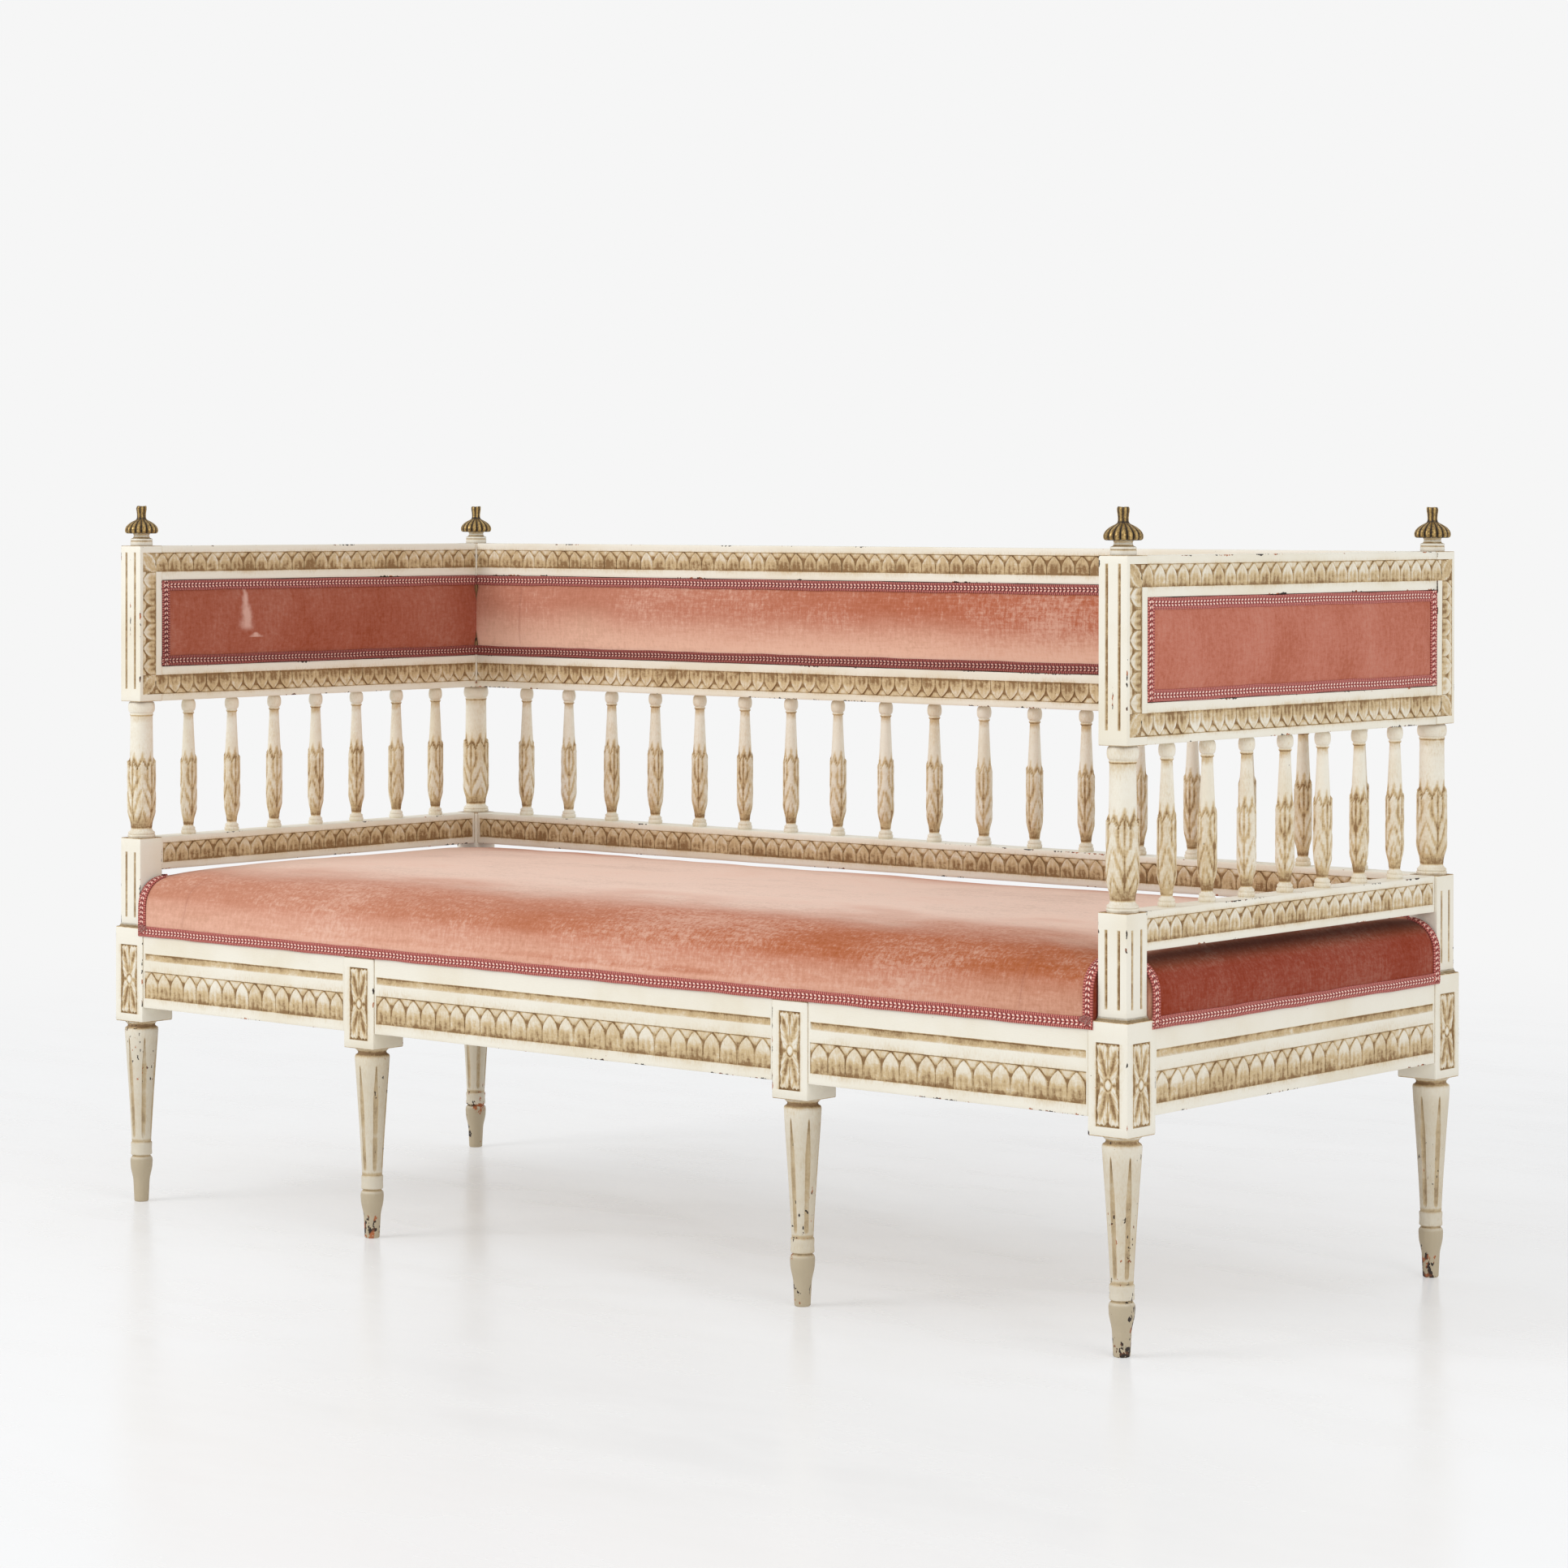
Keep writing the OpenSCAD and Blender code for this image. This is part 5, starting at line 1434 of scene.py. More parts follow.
@dataclass(frozen=True)
class Block:
    """Square block at the head of a leg, with a carved flower in a sunk field on a face."""

    low: float = 261.0
    high: float = 356.0
    half: float = 16.5

    def flower(self, shell: Shell, place: Place, mid: float, swap: bool) -> None:
        """Adds the flower of the face that looks along the place's y, or x when swap is set.

        Args:
            shell: shell that it is added to.
            place: frame on the leg's axis.
            mid: middle of the face across.
            swap: whether it goes on the face that looks along x.
        """
        across, out = (Y, X) if swap else (X, Y)
        spot = np.multiply(across, mid - self.half) + np.multiply(out, S.axis_in) + (0, 0, self.low)
        size = (2 * self.half, self.high - self.low)
        relief_slab(shell, place.face(spot, across, Z, out), size, (34, 88), rosette)

    def rows(self, mid: float) -> list[Row]:
        """Rows of the sunk field round the flower."""
        return sunk_field(mid - self.half, mid + self.half, SINK, wash=0.7)

    def window(self) -> Window:
        """Stretch of the sunk field."""
        return Window(self.low, self.high)


@dataclass(frozen=True)
class Post:
    """Corner post in one piece: leg, block, fluted stile, leaf-cut column and head."""

    side: int
    end: int

    @property
    def name(self) -> str:
        """Name of the post's CAD node."""
        return f"post_{corner_name(self.side, self.end)}"

    def build(self) -> Shell:
        """Makes the whole post."""
        shell, place = Shell(), corner_place(self.side, self.end)
        seed = 11 + self.side + 3 * self.end
        FlutedLeg().add_to(shell, place, seed)
        block, mid = Block(), S.axis_in - S.block_w / 2
        inside = S.axis_in - S.block_w
        Bar(
            inside, S.axis_in, inside, S.axis_in, S.leg_h, S.seat_z,
            {Face.RIGHT: block.rows(mid), Face.HIGH: block.rows(mid)},
            [block.window()], radius=1.1, seed=seed, end_soft=1.5,
        ).add_to(shell, place, (0, 1, 2))
        block.flower(shell, place, mid, False)
        block.flower(shell, place, mid, True)
        self.stile(shell, place, seed)
        column_turning().add_to(shell, tuple(place.put([0, 0, S.gallery_z])), 0.3 * seed, seed)
        self.head(shell, place, seed)
        return shell

    def stile(self, shell: Shell, place: Place, seed: int) -> None:
        """Adds the fluted stile and the small cove at its foot."""
        half = S.post_w / 2
        flutes = hollow(-8.8, 2.2, 1.8) + hollow(8.8, 2.2, 1.8)
        Bar(
            -half, half, -half, half, S.seat_z - 2, S.gallery_z,
            {Face.RIGHT: flutes, Face.HIGH: flutes},
            [Window(393.0, 483.0, 2.6, True)], seed=seed + 5,
        ).add_to(shell, place, (0, 1, 2))
        x, y = np.clip(Bar(-1, 1, -1, 1, 0, 1, radius=0.06).outline()[0], -1, 1).T
        rise = np.linspace(0, 1, 7)[:, None]
        reach = half + 2.2 - 2.2 * np.sin(rise * np.pi / 2)
        grid = line(x * reach, y * reach, S.seat_z - 0.6 + 5.2 * rise)
        stain = hump(rise, 0.35, 0.3) * 0.55
        shell.add(place.put(grid), wash=stain, wear=0.1)

    def head(self, shell: Shell, place: Place, seed: int) -> None:
        """Adds the head, between the two frame rails' outer edges, and its carving."""
        half = S.post_w / 2
        low, high, width = S.frame_z + RIM, S.top_z - RIM, FRAME_BAND.width
        outer = half - 5.3
        inner = outer - POST_BAND.width
        stubs = Window(low, low + width, twin=(high - width, high))
        full, flute = Window(low, high), Window(707.0, 895.0, 2.6, True)
        deep = ((inner - 0.8, 0), (inner - 0.3, 0), (inner, 1), (outer - 0.3, 1))
        field_rows = [Row(pos, SINK, 0.8, window=window) for pos, window in deep]
        field_rows += [Row(outer, wear=0.4, window=1), Row(outer + 1.0, window=1)]
        rows = {Face.RIGHT: field_rows}
        opened = {1: (Row(0.0, SINK, 0.8), (-1, 0))}
        if self.end < 0:
            rows[Face.LEFT] = field_rows
            knocks = [Row(-2.4), Row(0.0, wear=1.0), Row(2.4)]
            rows[Face.HIGH] = hollow(-8.8, 2.2, 1.8, 2) + knocks + hollow(8.8, 2.2, 1.8, 2)
            opened[0] = (Row(0.0, SINK, 0.8), (1, 0))
        else:
            rows[Face.HIGH] = field_rows
            opened[3] = (Row(0.0, SINK, 0.8), (0, -1))
            opened[0] = (Row(0.0, 0.0, 1.0, window=3), (0, 0))
        rim = S.frame_rail_h + 6.0
        between = Window(S.frame_z + rim, S.top_z - rim)
        Bar(
            -half, half, -half, half, S.frame_z, S.top_z, rows, [stubs, full, flute, between],
            seed=seed + 9, open_corner=opened, end_soft=0.9,
        ).add_to(shell, place, (0, 1, 2))
        faces = ((Y, X), (Y, (-1.0, 0.0, 0.0)) if self.end < 0 else (X, Y))
        for k, (across, out) in enumerate(faces):
            edge = np.multiply(across, inner) + np.multiply(out, half)
            start = edge + [0, 0, low + width]
            run = high - low - 2 * width
            POST_BAND.carve(shell, place.face(start, Z, across, out), run, seed + k)
            for z, up in ((high - width, Z), (low + width, (0.0, 0.0, -1.0))):
                leaf = place.face(edge + [0, 0, z], across, up, out)
                relief_slab(shell, leaf, (POST_BAND.width, width), (12, 14), corner_leaf)


@dataclass(frozen=True)
class MiddleLeg:
    """Leg and block between the lengths of the front seat rail."""

    name: str
    x: float

    def build(self) -> Shell:
        """Makes the leg, its block and the block's flower."""
        shell = Shell()
        place = replace(front_place(S.post_y), origin=(self.x, -S.post_y, 0.0))
        seed = 40 + int(self.x > 0)
        FlutedLeg().add_to(shell, place, seed)
        half, inside, block = S.block_w / 2, S.axis_in - S.block_w, Block()
        Bar(
            -half, half, inside, S.axis_in, S.leg_h, S.cover_z - 0.3,
            {Face.HIGH: block.rows(0.0)}, [block.window()], radius=1.1, seed=seed, end_soft=1.2,
        ).add_to(shell, place, (0, 1, 2))
        Bar(
            -half, half, inside, S.rail_out - 0.3, S.cover_z - 2.0, S.seat_z, seed=seed, wobble=0.0
        ).add_to(shell, place, (0, 1, 2))
        block.flower(shell, place, 0.0, False)
        return shell


@dataclass(frozen=True)
class SeatRail:
    """Seat rail: lengths between blocks with a band of leaves and a long groove above it."""

    name: str
    place: Place
    stretches: tuple[tuple[float, float], ...]
    seed: int

    def build(self) -> Shell:
        """Makes each stretch: the bar, with its field and groove, and the leaves."""
        shell = Shell()
        band_low = S.rail_z + 13.3
        band_high = band_low + SEAT_BAND.width
        tones = (0.12, 0.34, 0.5, 0.52, 0.6, 0.95, 0.5)
        groove = [
            Row(row.pos, row.sink, tone, window=1)
            for row, tone in zip(hollow(340.75, 4.7, 2.4, 1)[1:-1], tones)
        ]
        groove = [Row(335.4, window=1), *groove, Row(346.1, window=1)]
        for k, (low, high) in enumerate(self.stretches):
            rows = {Face.RIGHT: sunk_field(band_low, band_high, SEAT_BAND.depth) + groove}
            windows = [Window(low + 3.0, high - 3.0), Window(low + 3.5, high - 3.5, 1.2)]
            Bar(
                -30.0, 0.0, S.rail_z, S.seat_z, low, high, rows, windows,
                seed=self.seed + k, wobble=0.35,
            ).add_to(shell, self.place)
            face = self.place.face((low + 3.0, 0.0, band_low), X, Z, Y)
            SEAT_BAND.carve(shell, face, high - low - 6.0, self.seed + k)
        return shell


@dataclass(frozen=True)
class GalleryRail:
    """Rail with a band of leaves on both faces: lower rails and the two rails of a frame.

    overs holds how far the leaves run on over the posts: (low end, high end) for the face that
    looks along the place's y, then for the other face.
    """

    name: str
    place: Place
    run: float
    low_z: float
    high_z: float
    thick: float
    field_z: tuple[float, float]
    band: LeafBand
    tips_up: bool
    stop: float
    overs: tuple[tuple[float, float], tuple[float, float]]
    seed: int

    def build(self) -> Shell:
        """Makes the bar and the leaves of both faces."""
        shell, half, run = Shell(), self.thick / 2, self.run / 2
        rows = sunk_field(*self.field_z, SINK)
        reach = run - self.stop if self.stop else run + 5
        Bar(
            -half, half, self.low_z, self.high_z, -run, run,
            {Face.RIGHT: rows, Face.LEFT: rows}, [Window(-reach, reach)], seed=self.seed, wobble=0.3,
        ).add_to(shell, self.place)
        low, high = self.field_z
        z, tipward = (low, Z) if self.tips_up else (high, (0.0, 0.0, -1.0))
        for k, (way, over) in enumerate(zip((1, -1), self.overs)):
            start = (self.stop - run - over[0], way * half, z)
            face = self.place.face(start, X, tipward, (0.0, way, 0.0))
            length = 2 * run - 2 * self.stop + sum(over)
            # The face towards the seat holds 0.16 more wash: partly stain, partly painted shade on that
            # face.
            self.band.carve(shell, face, length, self.seed + 3 * k, 0.16 * k)
        return shell


def gallery(part: str, place: Place, run: float, ends: tuple, seed: int) -> list[GalleryRail]:
    """The three rails of one side of the sofa.

    Args:
        part: left, right or back.
        place: frame along that side, on the posts' axes.
        run: clear span between the posts.
        ends: overs of the frame rails.
        seed: seed of the small errors.

    Returns:
        The lower rail, and the bottom and top rail of the frame.
    """
    none = ((0.0, 0.0), (0.0, 0.0))
    frame_name = "back_{}_rail" if part == "back" else f"arm_{{}}_rail_{part}"
    bottom, top, height = S.frame_z, S.top_z, S.frame_rail_h
    lower_field = (S.lower_z + 9.7, S.lower_z + 9.7 + LOWER_BAND.width)
    return [
        GalleryRail(f"lower_rail_{part}", place, run, S.lower_z, S.gallery_z, 34.0, lower_field,
                    LOWER_BAND, True, 4.0, none, seed),
        GalleryRail(frame_name.format("bottom"), place, run, bottom, bottom + height, 38.0,
                    (bottom + RIM, bottom + RIM + FRAME_BAND.width), FRAME_BAND, False, 0.0,
                    ends, seed + 20),
        GalleryRail(frame_name.format("top"), place, run, top - height, top, 38.0,
                    (top - RIM - FRAME_BAND.width, top - RIM), FRAME_BAND, True, 0.0,
                    ends, seed + 40),
    ]


@dataclass(frozen=True)
class SpindleRow:
    """Row of turned spindles between a lower rail and the frame above it."""

    name: str
    place: Place
    run: float
    count: int
    end_gap: float
    seed: int

    def build(self) -> Shell:
        """Makes the spindles, each turned and cut a little differently."""
        shell, rng = Shell(), np.random.default_rng(self.seed)
        reach = self.run / 2 - self.end_gap
        for k, x in enumerate(np.linspace(-reach, reach, self.count)):
            foot = self.place.put([x, 0.0, S.gallery_z])
            turn = float(rng.uniform(0, 2 * np.pi))
            spindle_turning().add_to(shell, tuple(foot), turn, self.seed * 100 + k)
        return shell


@dataclass(frozen=True)
class Finial:
    """Knob on a post: a painted collar and a gilded ribbed cap with a fluted stem."""

    side: int
    end: int
    ribs: int = 17

    @property
    def centre(self) -> Vec:
        """Foot of the collar."""
        return (self.side * S.post_x, self.end * S.post_y, S.top_z)

    def collar(self) -> Shell:
        """Makes the collar: a thick disc, a neck and a small lip under the cap."""
        r = 15.25
        outline = [(-0.3, r * 0.95), (0.5, r * 0.985), (1.4, r)]
        outline += [(5.6, r * 0.99), (6.2, r * 0.985)] + bead(6.4, 9.9, r * 0.92, r * 0.995, 6)
        outline += [(10.6, r * 0.79), (11.4, r * 0.735), (12.6, r * 0.725), (14.2, r * 0.69)]
        outline += [(15.4, r * 0.72), (16.6, r * 0.76), (17.2, r * 0.76)]
        z, radius = profile(outline, 1.6)
        angle = np.linspace(0, 2 * np.pi, 44, endpoint=False)
        wash = 0.9 * hump(z, 10.9, 0.9) + 0.5 * hump(z, 6.3, 0.7)
        wash += 0.45 * hump(z, 15.6, 1.6) + 0.06
        shell = Shell()
        revolve(shell, self.centre, z, radius, angle, wash[:, None], 0.15)
        return shell

    def cap(self) -> Shell:
        """Makes the cap.

        The dome's radius is cut in to narrow grooves between round ribs, the rim hangs lower
        under each rib, and the stem has seven flutes and a ragged top.
        """
        outline = [(0.4, 11.0), (-0.2, 16.0), (-0.1, 19.6), (0.7, 21.6), (2.2, 22.5), (4.4, 22.8)]
        outline += [(6.8, 22.4), (9.4, 21.1), (12.0, 18.9), (14.4, 15.9), (16.4, 12.5)]
        outline += [(17.9, 9.4), (19.0, 7.5), (20.4, 6.6), (22.5, 6.2), (26.0, 6.25), (29.5, 6.6)]
        outline += [(32.5, 7.1), (34.8, 7.3), (36.4, 7.0), (37.4, 6.3)]
        z, radius = profile(outline, 1.5)
        angle = np.linspace(0, 2 * np.pi, self.ribs * 7, endpoint=False)
        rng = np.random.default_rng(70 + 2 * self.side + self.end)
        on_dome = (smooth(z, -0.4, 1.6) * smooth(-z, -20.0, -17.0))[:, None]
        rib = np.abs(np.sin(angle * self.ribs / 2))[None, :]
        cut = 1 - rib**0.55
        stem = (smooth(z, 18.5, 21.5))[:, None]
        flute = 1 - np.abs(np.sin(angle * 3.5 + 0.4))[None, :] ** 0.7
        ragged = rng.normal(0, 0.5, (1, len(angle)))
        ragged = (ragged + np.roll(ragged, 1, 1) + np.roll(ragged, -1, 1)) / 2
        r = radius[:, None] * (1 - 0.115 * cut * on_dome - 0.13 * flute * stem)
        top = smooth(z, 33.0, 37.0)[:, None]
        height = z[:, None] + ragged * top + 0.9 * cut * smooth(-z, -5.0, -0.5)[:, None]
        r = r + 0.5 * ragged * top
        wash = 0.22 + cut * on_dome * 0.95 + flute * stem * 0.8 + rng.uniform(-0.12, 0.12, r.shape)
        wash = wash + (0.8 * smooth(-z, -0.6, 0.2) + 0.4 * hump(z, 20.0, 1.6))[:, None]
        shell = Shell()
        revolve(shell, self.centre, height + 17.0, r, angle, np.clip(wash, 0, 1.2))
        return shell


def notched_ring(half_x: float, half_y: float, z: float, notch_x: float, notch_y: float) -> Array:
    """Outline of the seat's plan at one height, as evenly spread points.

    The outline is a rectangle whose corners are cut by square notches round the posts. Where
    the rectangle has shrunk past a notch, that corner's points draw together.

    Args:
        half_x: half length.
        half_y: half depth.
        z: height.
        notch_x: inner side of the notches along X.
        notch_y: inner side of the notches along Y.

    Returns:
        Points anticlockwise, the same number for each ring.
    """
    nx, ny = min(notch_x, half_x), min(notch_y, half_y)
    corner = np.linspace(0, 1, 6)[:-1]
    parts = []
    for sx, sy in ((1, -1), (1, 1), (-1, 1), (-1, -1)):
        stops = [(sx * nx, sy * half_y), (sx * nx, sy * ny), (sx * half_x, sy * ny)]
        if sx * sy < 0:
            stops, spread = [*stops, (sx * half_x, -sy * ny)], SEAT_END
        else:
            stops = [*stops[::-1], (-sx * nx, sy * half_y)]
            spread = SEAT_RUN if sy < 0 else np.append(0.0, 1.0 - SEAT_RUN[:0:-1])
        for a, b, share in zip(stops, stops[1:], (corner, corner, spread)):
            parts.append(np.array(a) + np.subtract(b, a) * share[:, None])
    flat = np.vstack(parts)
    return np.column_stack([flat, np.full(len(flat), z)])


def with_seams(even: Array, seams: Sequence[float], length: float) -> Array:
    """Shares along a run, with close points added on both sides of each sewn seam."""
    extra = [s + d / length for s in seams for d in (-5.0, -1.5, 0.0, 1.5, 5.0)]
    kept = [v for v in even if all(abs(v - s) * length > 9.0 for s in seams)]
    return np.unique(np.array(kept + extra))


SEAM_X = (-719.0, 703.0)
RUN_LENGTH = 2 * (S.post_x - S.notch)
SEAT_RUN = with_seams(
    np.linspace(0, 1, 128)[:-1], [0.5 + x / RUN_LENGTH for x in SEAM_X], RUN_LENGTH
)
SEAT_END = np.linspace(0, 1, 44)[:-1]


def points_of(mesh: bpy.types.Mesh) -> tuple[Array, Array]:
    """Points of a mesh in mm, and their normals."""
    co, normal = np.empty((2, len(mesh.vertices) * 3), np.float32)
    mesh.vertices.foreach_get("co", co)
    mesh.vertex_normals.foreach_get("vector", normal)
    return co.reshape(-1, 3).astype(float) / MM, normal.reshape(-1, 3).astype(float)


def set_points(mesh: bpy.types.Mesh, points: Array) -> None:
    """Writes points given in mm to a mesh."""
    mesh.vertices.foreach_set("co", (points * MM).astype(np.float32).ravel())
    mesh.update()


def swell(piece: bpy.types.Object, held: Array, pressure: float, cap: float, stiffness: float) -> None:
    """Puffs up a piece with a cloth simulation and writes the result to its mesh.

    Each point's move d is shortened to cap * tanh(|d| / cap), and scaled by one minus how far it is
    held.

    Args:
        piece: the piece, without modifiers.
        held: from 0 to 1, how far each point is held.
        pressure: pressure inside.
        cap: longest move in mm.
        stiffness: stiffness of the cloth against stretch.
    """
    start, normals = points_of(piece.data)
    pins = piece.vertex_groups.new(name="held")
    for k in np.flatnonzero(held > 0.01):
        pins.add([int(k)], float(held[k]), "REPLACE")
    cloth = piece.modifiers.new("swell", "CLOTH")
    wanted = {
        "quality": 6, "mass": 0.25, "bending_stiffness": 1.5, "air_damping": 4.0,
        "tension_stiffness": stiffness, "compression_stiffness": stiffness,
        "shear_stiffness": stiffness * 0.5, "use_pressure": True,
        "uniform_pressure_force": pressure, "vertex_group_mass": "held",
    }
    for key, value in wanted.items():
        setattr(cloth.settings, key, value)
    cloth.settings.effector_weights.gravity = 0.0
    cloth.collision_settings.use_collision = False
    first, last = 1, 20
    cloth.point_cache.frame_start, cloth.point_cache.frame_end = first, last
    scene = bpy.context.scene
    for number in range(first, last + 1):
        scene.frame_set(number)
    evaluated = piece.evaluated_get(bpy.context.evaluated_depsgraph_get())
    moved, _ = points_of(evaluated.data)
    piece.modifiers.remove(cloth)
    piece.vertex_groups.remove(pins)
    scene.frame_set(first)
    move = moved - start
    size = np.linalg.norm(move, axis=1)
    kept = cap * np.tanh(size / cap) * (1 - held)
    set_points(piece.data, start + move * (kept / np.maximum(size, 1e-6))[:, None])
    LOG.info("%s: moved up to %.1f mm", piece.name, float(kept.max()))


class Stuffed:
    """A stuffed piece: its surface is swollen as cloth, and then it settles."""

    def held(self, points: Array) -> Array:
        """How far each point is held, from 0 to 1."""
        raise NotImplementedError

    def settle(
        self, start: Array, points: Array, normals: Array, free: Array
    ) -> tuple[Array, Array]:
        """Settled points and the mark of the seams, from points before and after the swelling."""
        raise NotImplementedError

    def make(
        self, name: str, shell: Shell, velvet: bpy.types.Material, nodes: Sequence[str],
        cloth: tuple[float, float, float], fill: float,
    ) -> None:
        """Makes the piece.

        Args:
            name: name of the piece.
            shell: its surface before it is swollen.
            velvet: its material.
            nodes: CAD nodes that it stands for.
            cloth: pressure, longest move in mm and stiffness.
            fill: how tightly it is stuffed, from 0 to 1; not used.
        """
        piece = publish(name, shell, velvet, nodes, 80.0)
        mesh = piece.data
        start, _ = points_of(mesh)
        held = self.held(start)
        swell(piece, held, *cloth)
        points, seam = self.settle(start, *points_of(mesh), 1 - held)
        set_points(mesh, points)
        # The seams' depth is stored as the wash mark; the velvet darkens it as the stitch line and as
        # painted shade in the crease.
        set_mark(mesh, "wash", seam * 0.6)
        modifier = piece.modifiers.new("soft", "SUBSURF")
        modifier.levels = modifier.render_levels = 1


@dataclass(frozen=True)
class SeatCushion(Stuffed):
    """Stuffed seat in worn velvet, over the seat rails and cut out round the posts.

    Its sides stand on the rails' faces, its edge is rolled and its top is crowned.
    """

    half_x: float = 855.0
    half_y: float = 354.0
    roll_w: float = 42.0
    roll_h: float = 38.0
    crown: float = 14.0

    def ring(self, inset: float, z: float, crowned: bool = False) -> Array:
        """Outline at an inset from the sides, raised to the crown where that is set.

        The crown rises as 1 - |x/X|^6 along the sofa and 1 - |y/Y|^2.2 across it.
        """
        notch_x, notch_y = S.post_x - S.notch, S.post_y - S.notch
        ring = notched_ring(self.half_x - inset, self.half_y - inset, z, notch_x, notch_y)
        if crowned:
            x = np.clip(np.abs(ring[:, 0]) / (self.half_x - self.roll_w), 0, 1)
            y = np.clip(np.abs(ring[:, 1]) / (self.half_y - self.roll_w), 0, 1)
            ring[:, 2] += self.crown * (1 - x**6) * (1 - y**2.2)
        return ring

    def build(self, velvet: bpy.types.Material) -> None:
        """Makes the seat: rings from below to the crown, swollen, with seams and small waves."""
        base = S.seat_base + 0.05
        rings = [self.ring(e, base) for e in (self.half_y, 240.0, 120.0, 40.0, 2.0)]
        rings.append(self.ring(1.45, S.cover_z + 0.2))
        rings += [self.ring(0.2, z) for z in (369.0, 376.0, 383.0, 389.0, 397.0, 404.0)]
        for turn in np.radians(np.linspace(0, 90, 8)):
            inset = self.roll_w * (1 - math.cos(turn))
            z = S.edge_z - self.roll_h + self.roll_h * math.sin(turn)
            rings.append(self.ring(0.2 + inset * 0.995, z))
        insets = np.concatenate([[48.0, 56.0], np.arange(67.0, 346.0, 12.0), [self.half_y]])
        rings += [self.ring(float(e), S.edge_z, True) for e in insets]
        shell = Shell()
        shell.add(np.stack(rings), fans=False)
        nodes = ("seat_cover", "seat_stuffing")
        self.make("seat_cushion", shell, velvet, nodes, (4.0, 6.5, 25.0), 0.85)

    def settle(
        self, start: Array, points: Array, normals: Array, free: Array
    ) -> tuple[Array, Array]:
        """Adds small waves and the seams, and lets the top sag where people sit."""
        rise = waves(points, 5, 420.0) * 1.0 + waves(points, 6, 90.0) * 0.22
        sag = 3.2 * hump(points[:, 0], 60, 420) * hump(points[:, 1], -20, 190)
        points = points + normals * (rise * free)[:, None]
        points[:, 2] -= sag * smooth(points[:, 2], 435.0, 452.0)
        seam = self.seam(points)
        return points - normals * (seam * 0.9 * free)[:, None], seam

    def held(self, points: Array) -> Array:
        """How far the gimp and the rails hold each point: 1 on them, 0 a little way off."""
        x, y, z = np.abs(points).T
        low = smooth(-z, -396.0, -384.0)
        near_x, near_y = S.post_x - S.notch - x, S.post_y - S.notch - y
        beside = np.maximum(np.maximum(near_x, 0), np.maximum(near_y, 0))
        front = smooth(-near_x, -30.0, -15.0) * smooth(y, 300.0, 306.0)
        end = smooth(-near_y, -30.0, -15.0) * smooth(x, 800.0, 807.0)
        near_post = smooth(-beside, -14.0, -2.0) * smooth(x, 780.0, 800.0) * smooth(y, 280.0, 300.0)
        return np.clip(np.maximum.reduce([low, front, end, near_post]), 0, 1)

    def seam(self, points: Array) -> Array:
        """Depth of the sewn seams of the front, 1 in the stitch line."""
        x, y, z = points.T
        found = np.zeros(len(points))
        for spot in SEAM_X:
            share = 0.5 + spot / RUN_LENGTH
            half = np.minimum(S.post_x - S.notch, self.half_x - np.maximum(self.half_y + y, 0))
            line = (2 * share - 1) * half
            near = hump(x, line, 1.2)
            found = np.maximum(found, near * smooth(-y, 292.0, 326.0) * smooth(z, 382.0, 386.0))
        return found


GIMP_PROFILE = (
    (-1.0, 0.25), (-0.94, 0.72), (-0.8, 0.88), (-0.64, 0.72), (-0.5, 0.5), (-0.36, 0.82),
    (-0.2, 0.98), (-0.05, 0.66), (0.05, 0.66), (0.2, 0.98), (0.36, 0.82), (0.5, 0.5),
    (0.64, 0.72), (0.8, 0.88), (0.94, 0.72), (1.0, 0.25),
)


def gimp_strip(
    shell: Shell, path: Array, out: Array, wide: Array, width: float, thick: float, seed: int
) -> None:
    """Adds a length of braid along a path.

    Each station is the path's point plus wide*width/2*across plus out*thick*height, where the
    height over the cloth follows the ridges of the braid.

    Args:
        shell: shell that it is added to.
        path: points of its middle line.
        out: direction out of the cloth, at each point or for all.
        wide: direction across the braid, at each point or for all.
        width: its width.
        thick: its thickness.
        seed: seed of its small waves.
    """
    rng = np.random.default_rng(seed)
    out, wide = (np.broadcast_to(np.asarray(way, float), path.shape)[:, None] for way in (out, wide))
    run = np.append(0.0, np.cumsum(np.linalg.norm(np.diff(path, axis=0), axis=1)))[:, None]
    across, height = np.array([*GIMP_PROFILE, (1.0, -0.25), (-1.0, -0.25)]).T
    phase = rng.uniform(0, 6.28, 3)
    wander = 0.28 * np.sin(run / 31.0 + phase[0]) + 0.16 * np.sin(run / 11.0 + phase[1])
    pucker = 1 + 0.05 * np.sin(run / 7.3 + phase[2])
    half = width / 2 * (1 + 0.02 * np.sin(run / 17.0 + phase[1]))
    lift = height * thick * np.where(height > 0, pucker, 1.0)
    grid = path[:, None] + wide * (across * half + wander)[..., None] + out * lift[..., None]
    shell.add(grid, along=run + rng.uniform(0, 40), across=across)


def knot(shell: Shell, centre: Vec, size: Vec, seed: int) -> None:
    """Adds a lump of gathered braid: an ellipsoid whose radius is cut by crossed waves."""
    u = np.linspace(0.02, np.pi - 0.02, 15)[:, None]
    v = np.linspace(0, 2 * np.pi, 26, endpoint=False)[None, :]
    rng = np.random.default_rng(seed)
    a, b = rng.uniform(0, 6.28, 2)
    r = 1 + 0.16 * np.sin(5 * v + 3 * u + a) * np.sin(u) + 0.13 * np.sin(6 * u - 4 * v + b) * np.sin(u)
    grid = np.stack([r * np.sin(u) * np.cos(v), r * np.sin(u) * np.sin(v), r * np.cos(u) + 0 * v], -1)
    across = 0.3 + 0.6 * np.sin(5 * v + 3 * u + a)
    shell.add(grid * np.array(size) + np.array(centre), along=(v * 14 + u * 30), across=across)


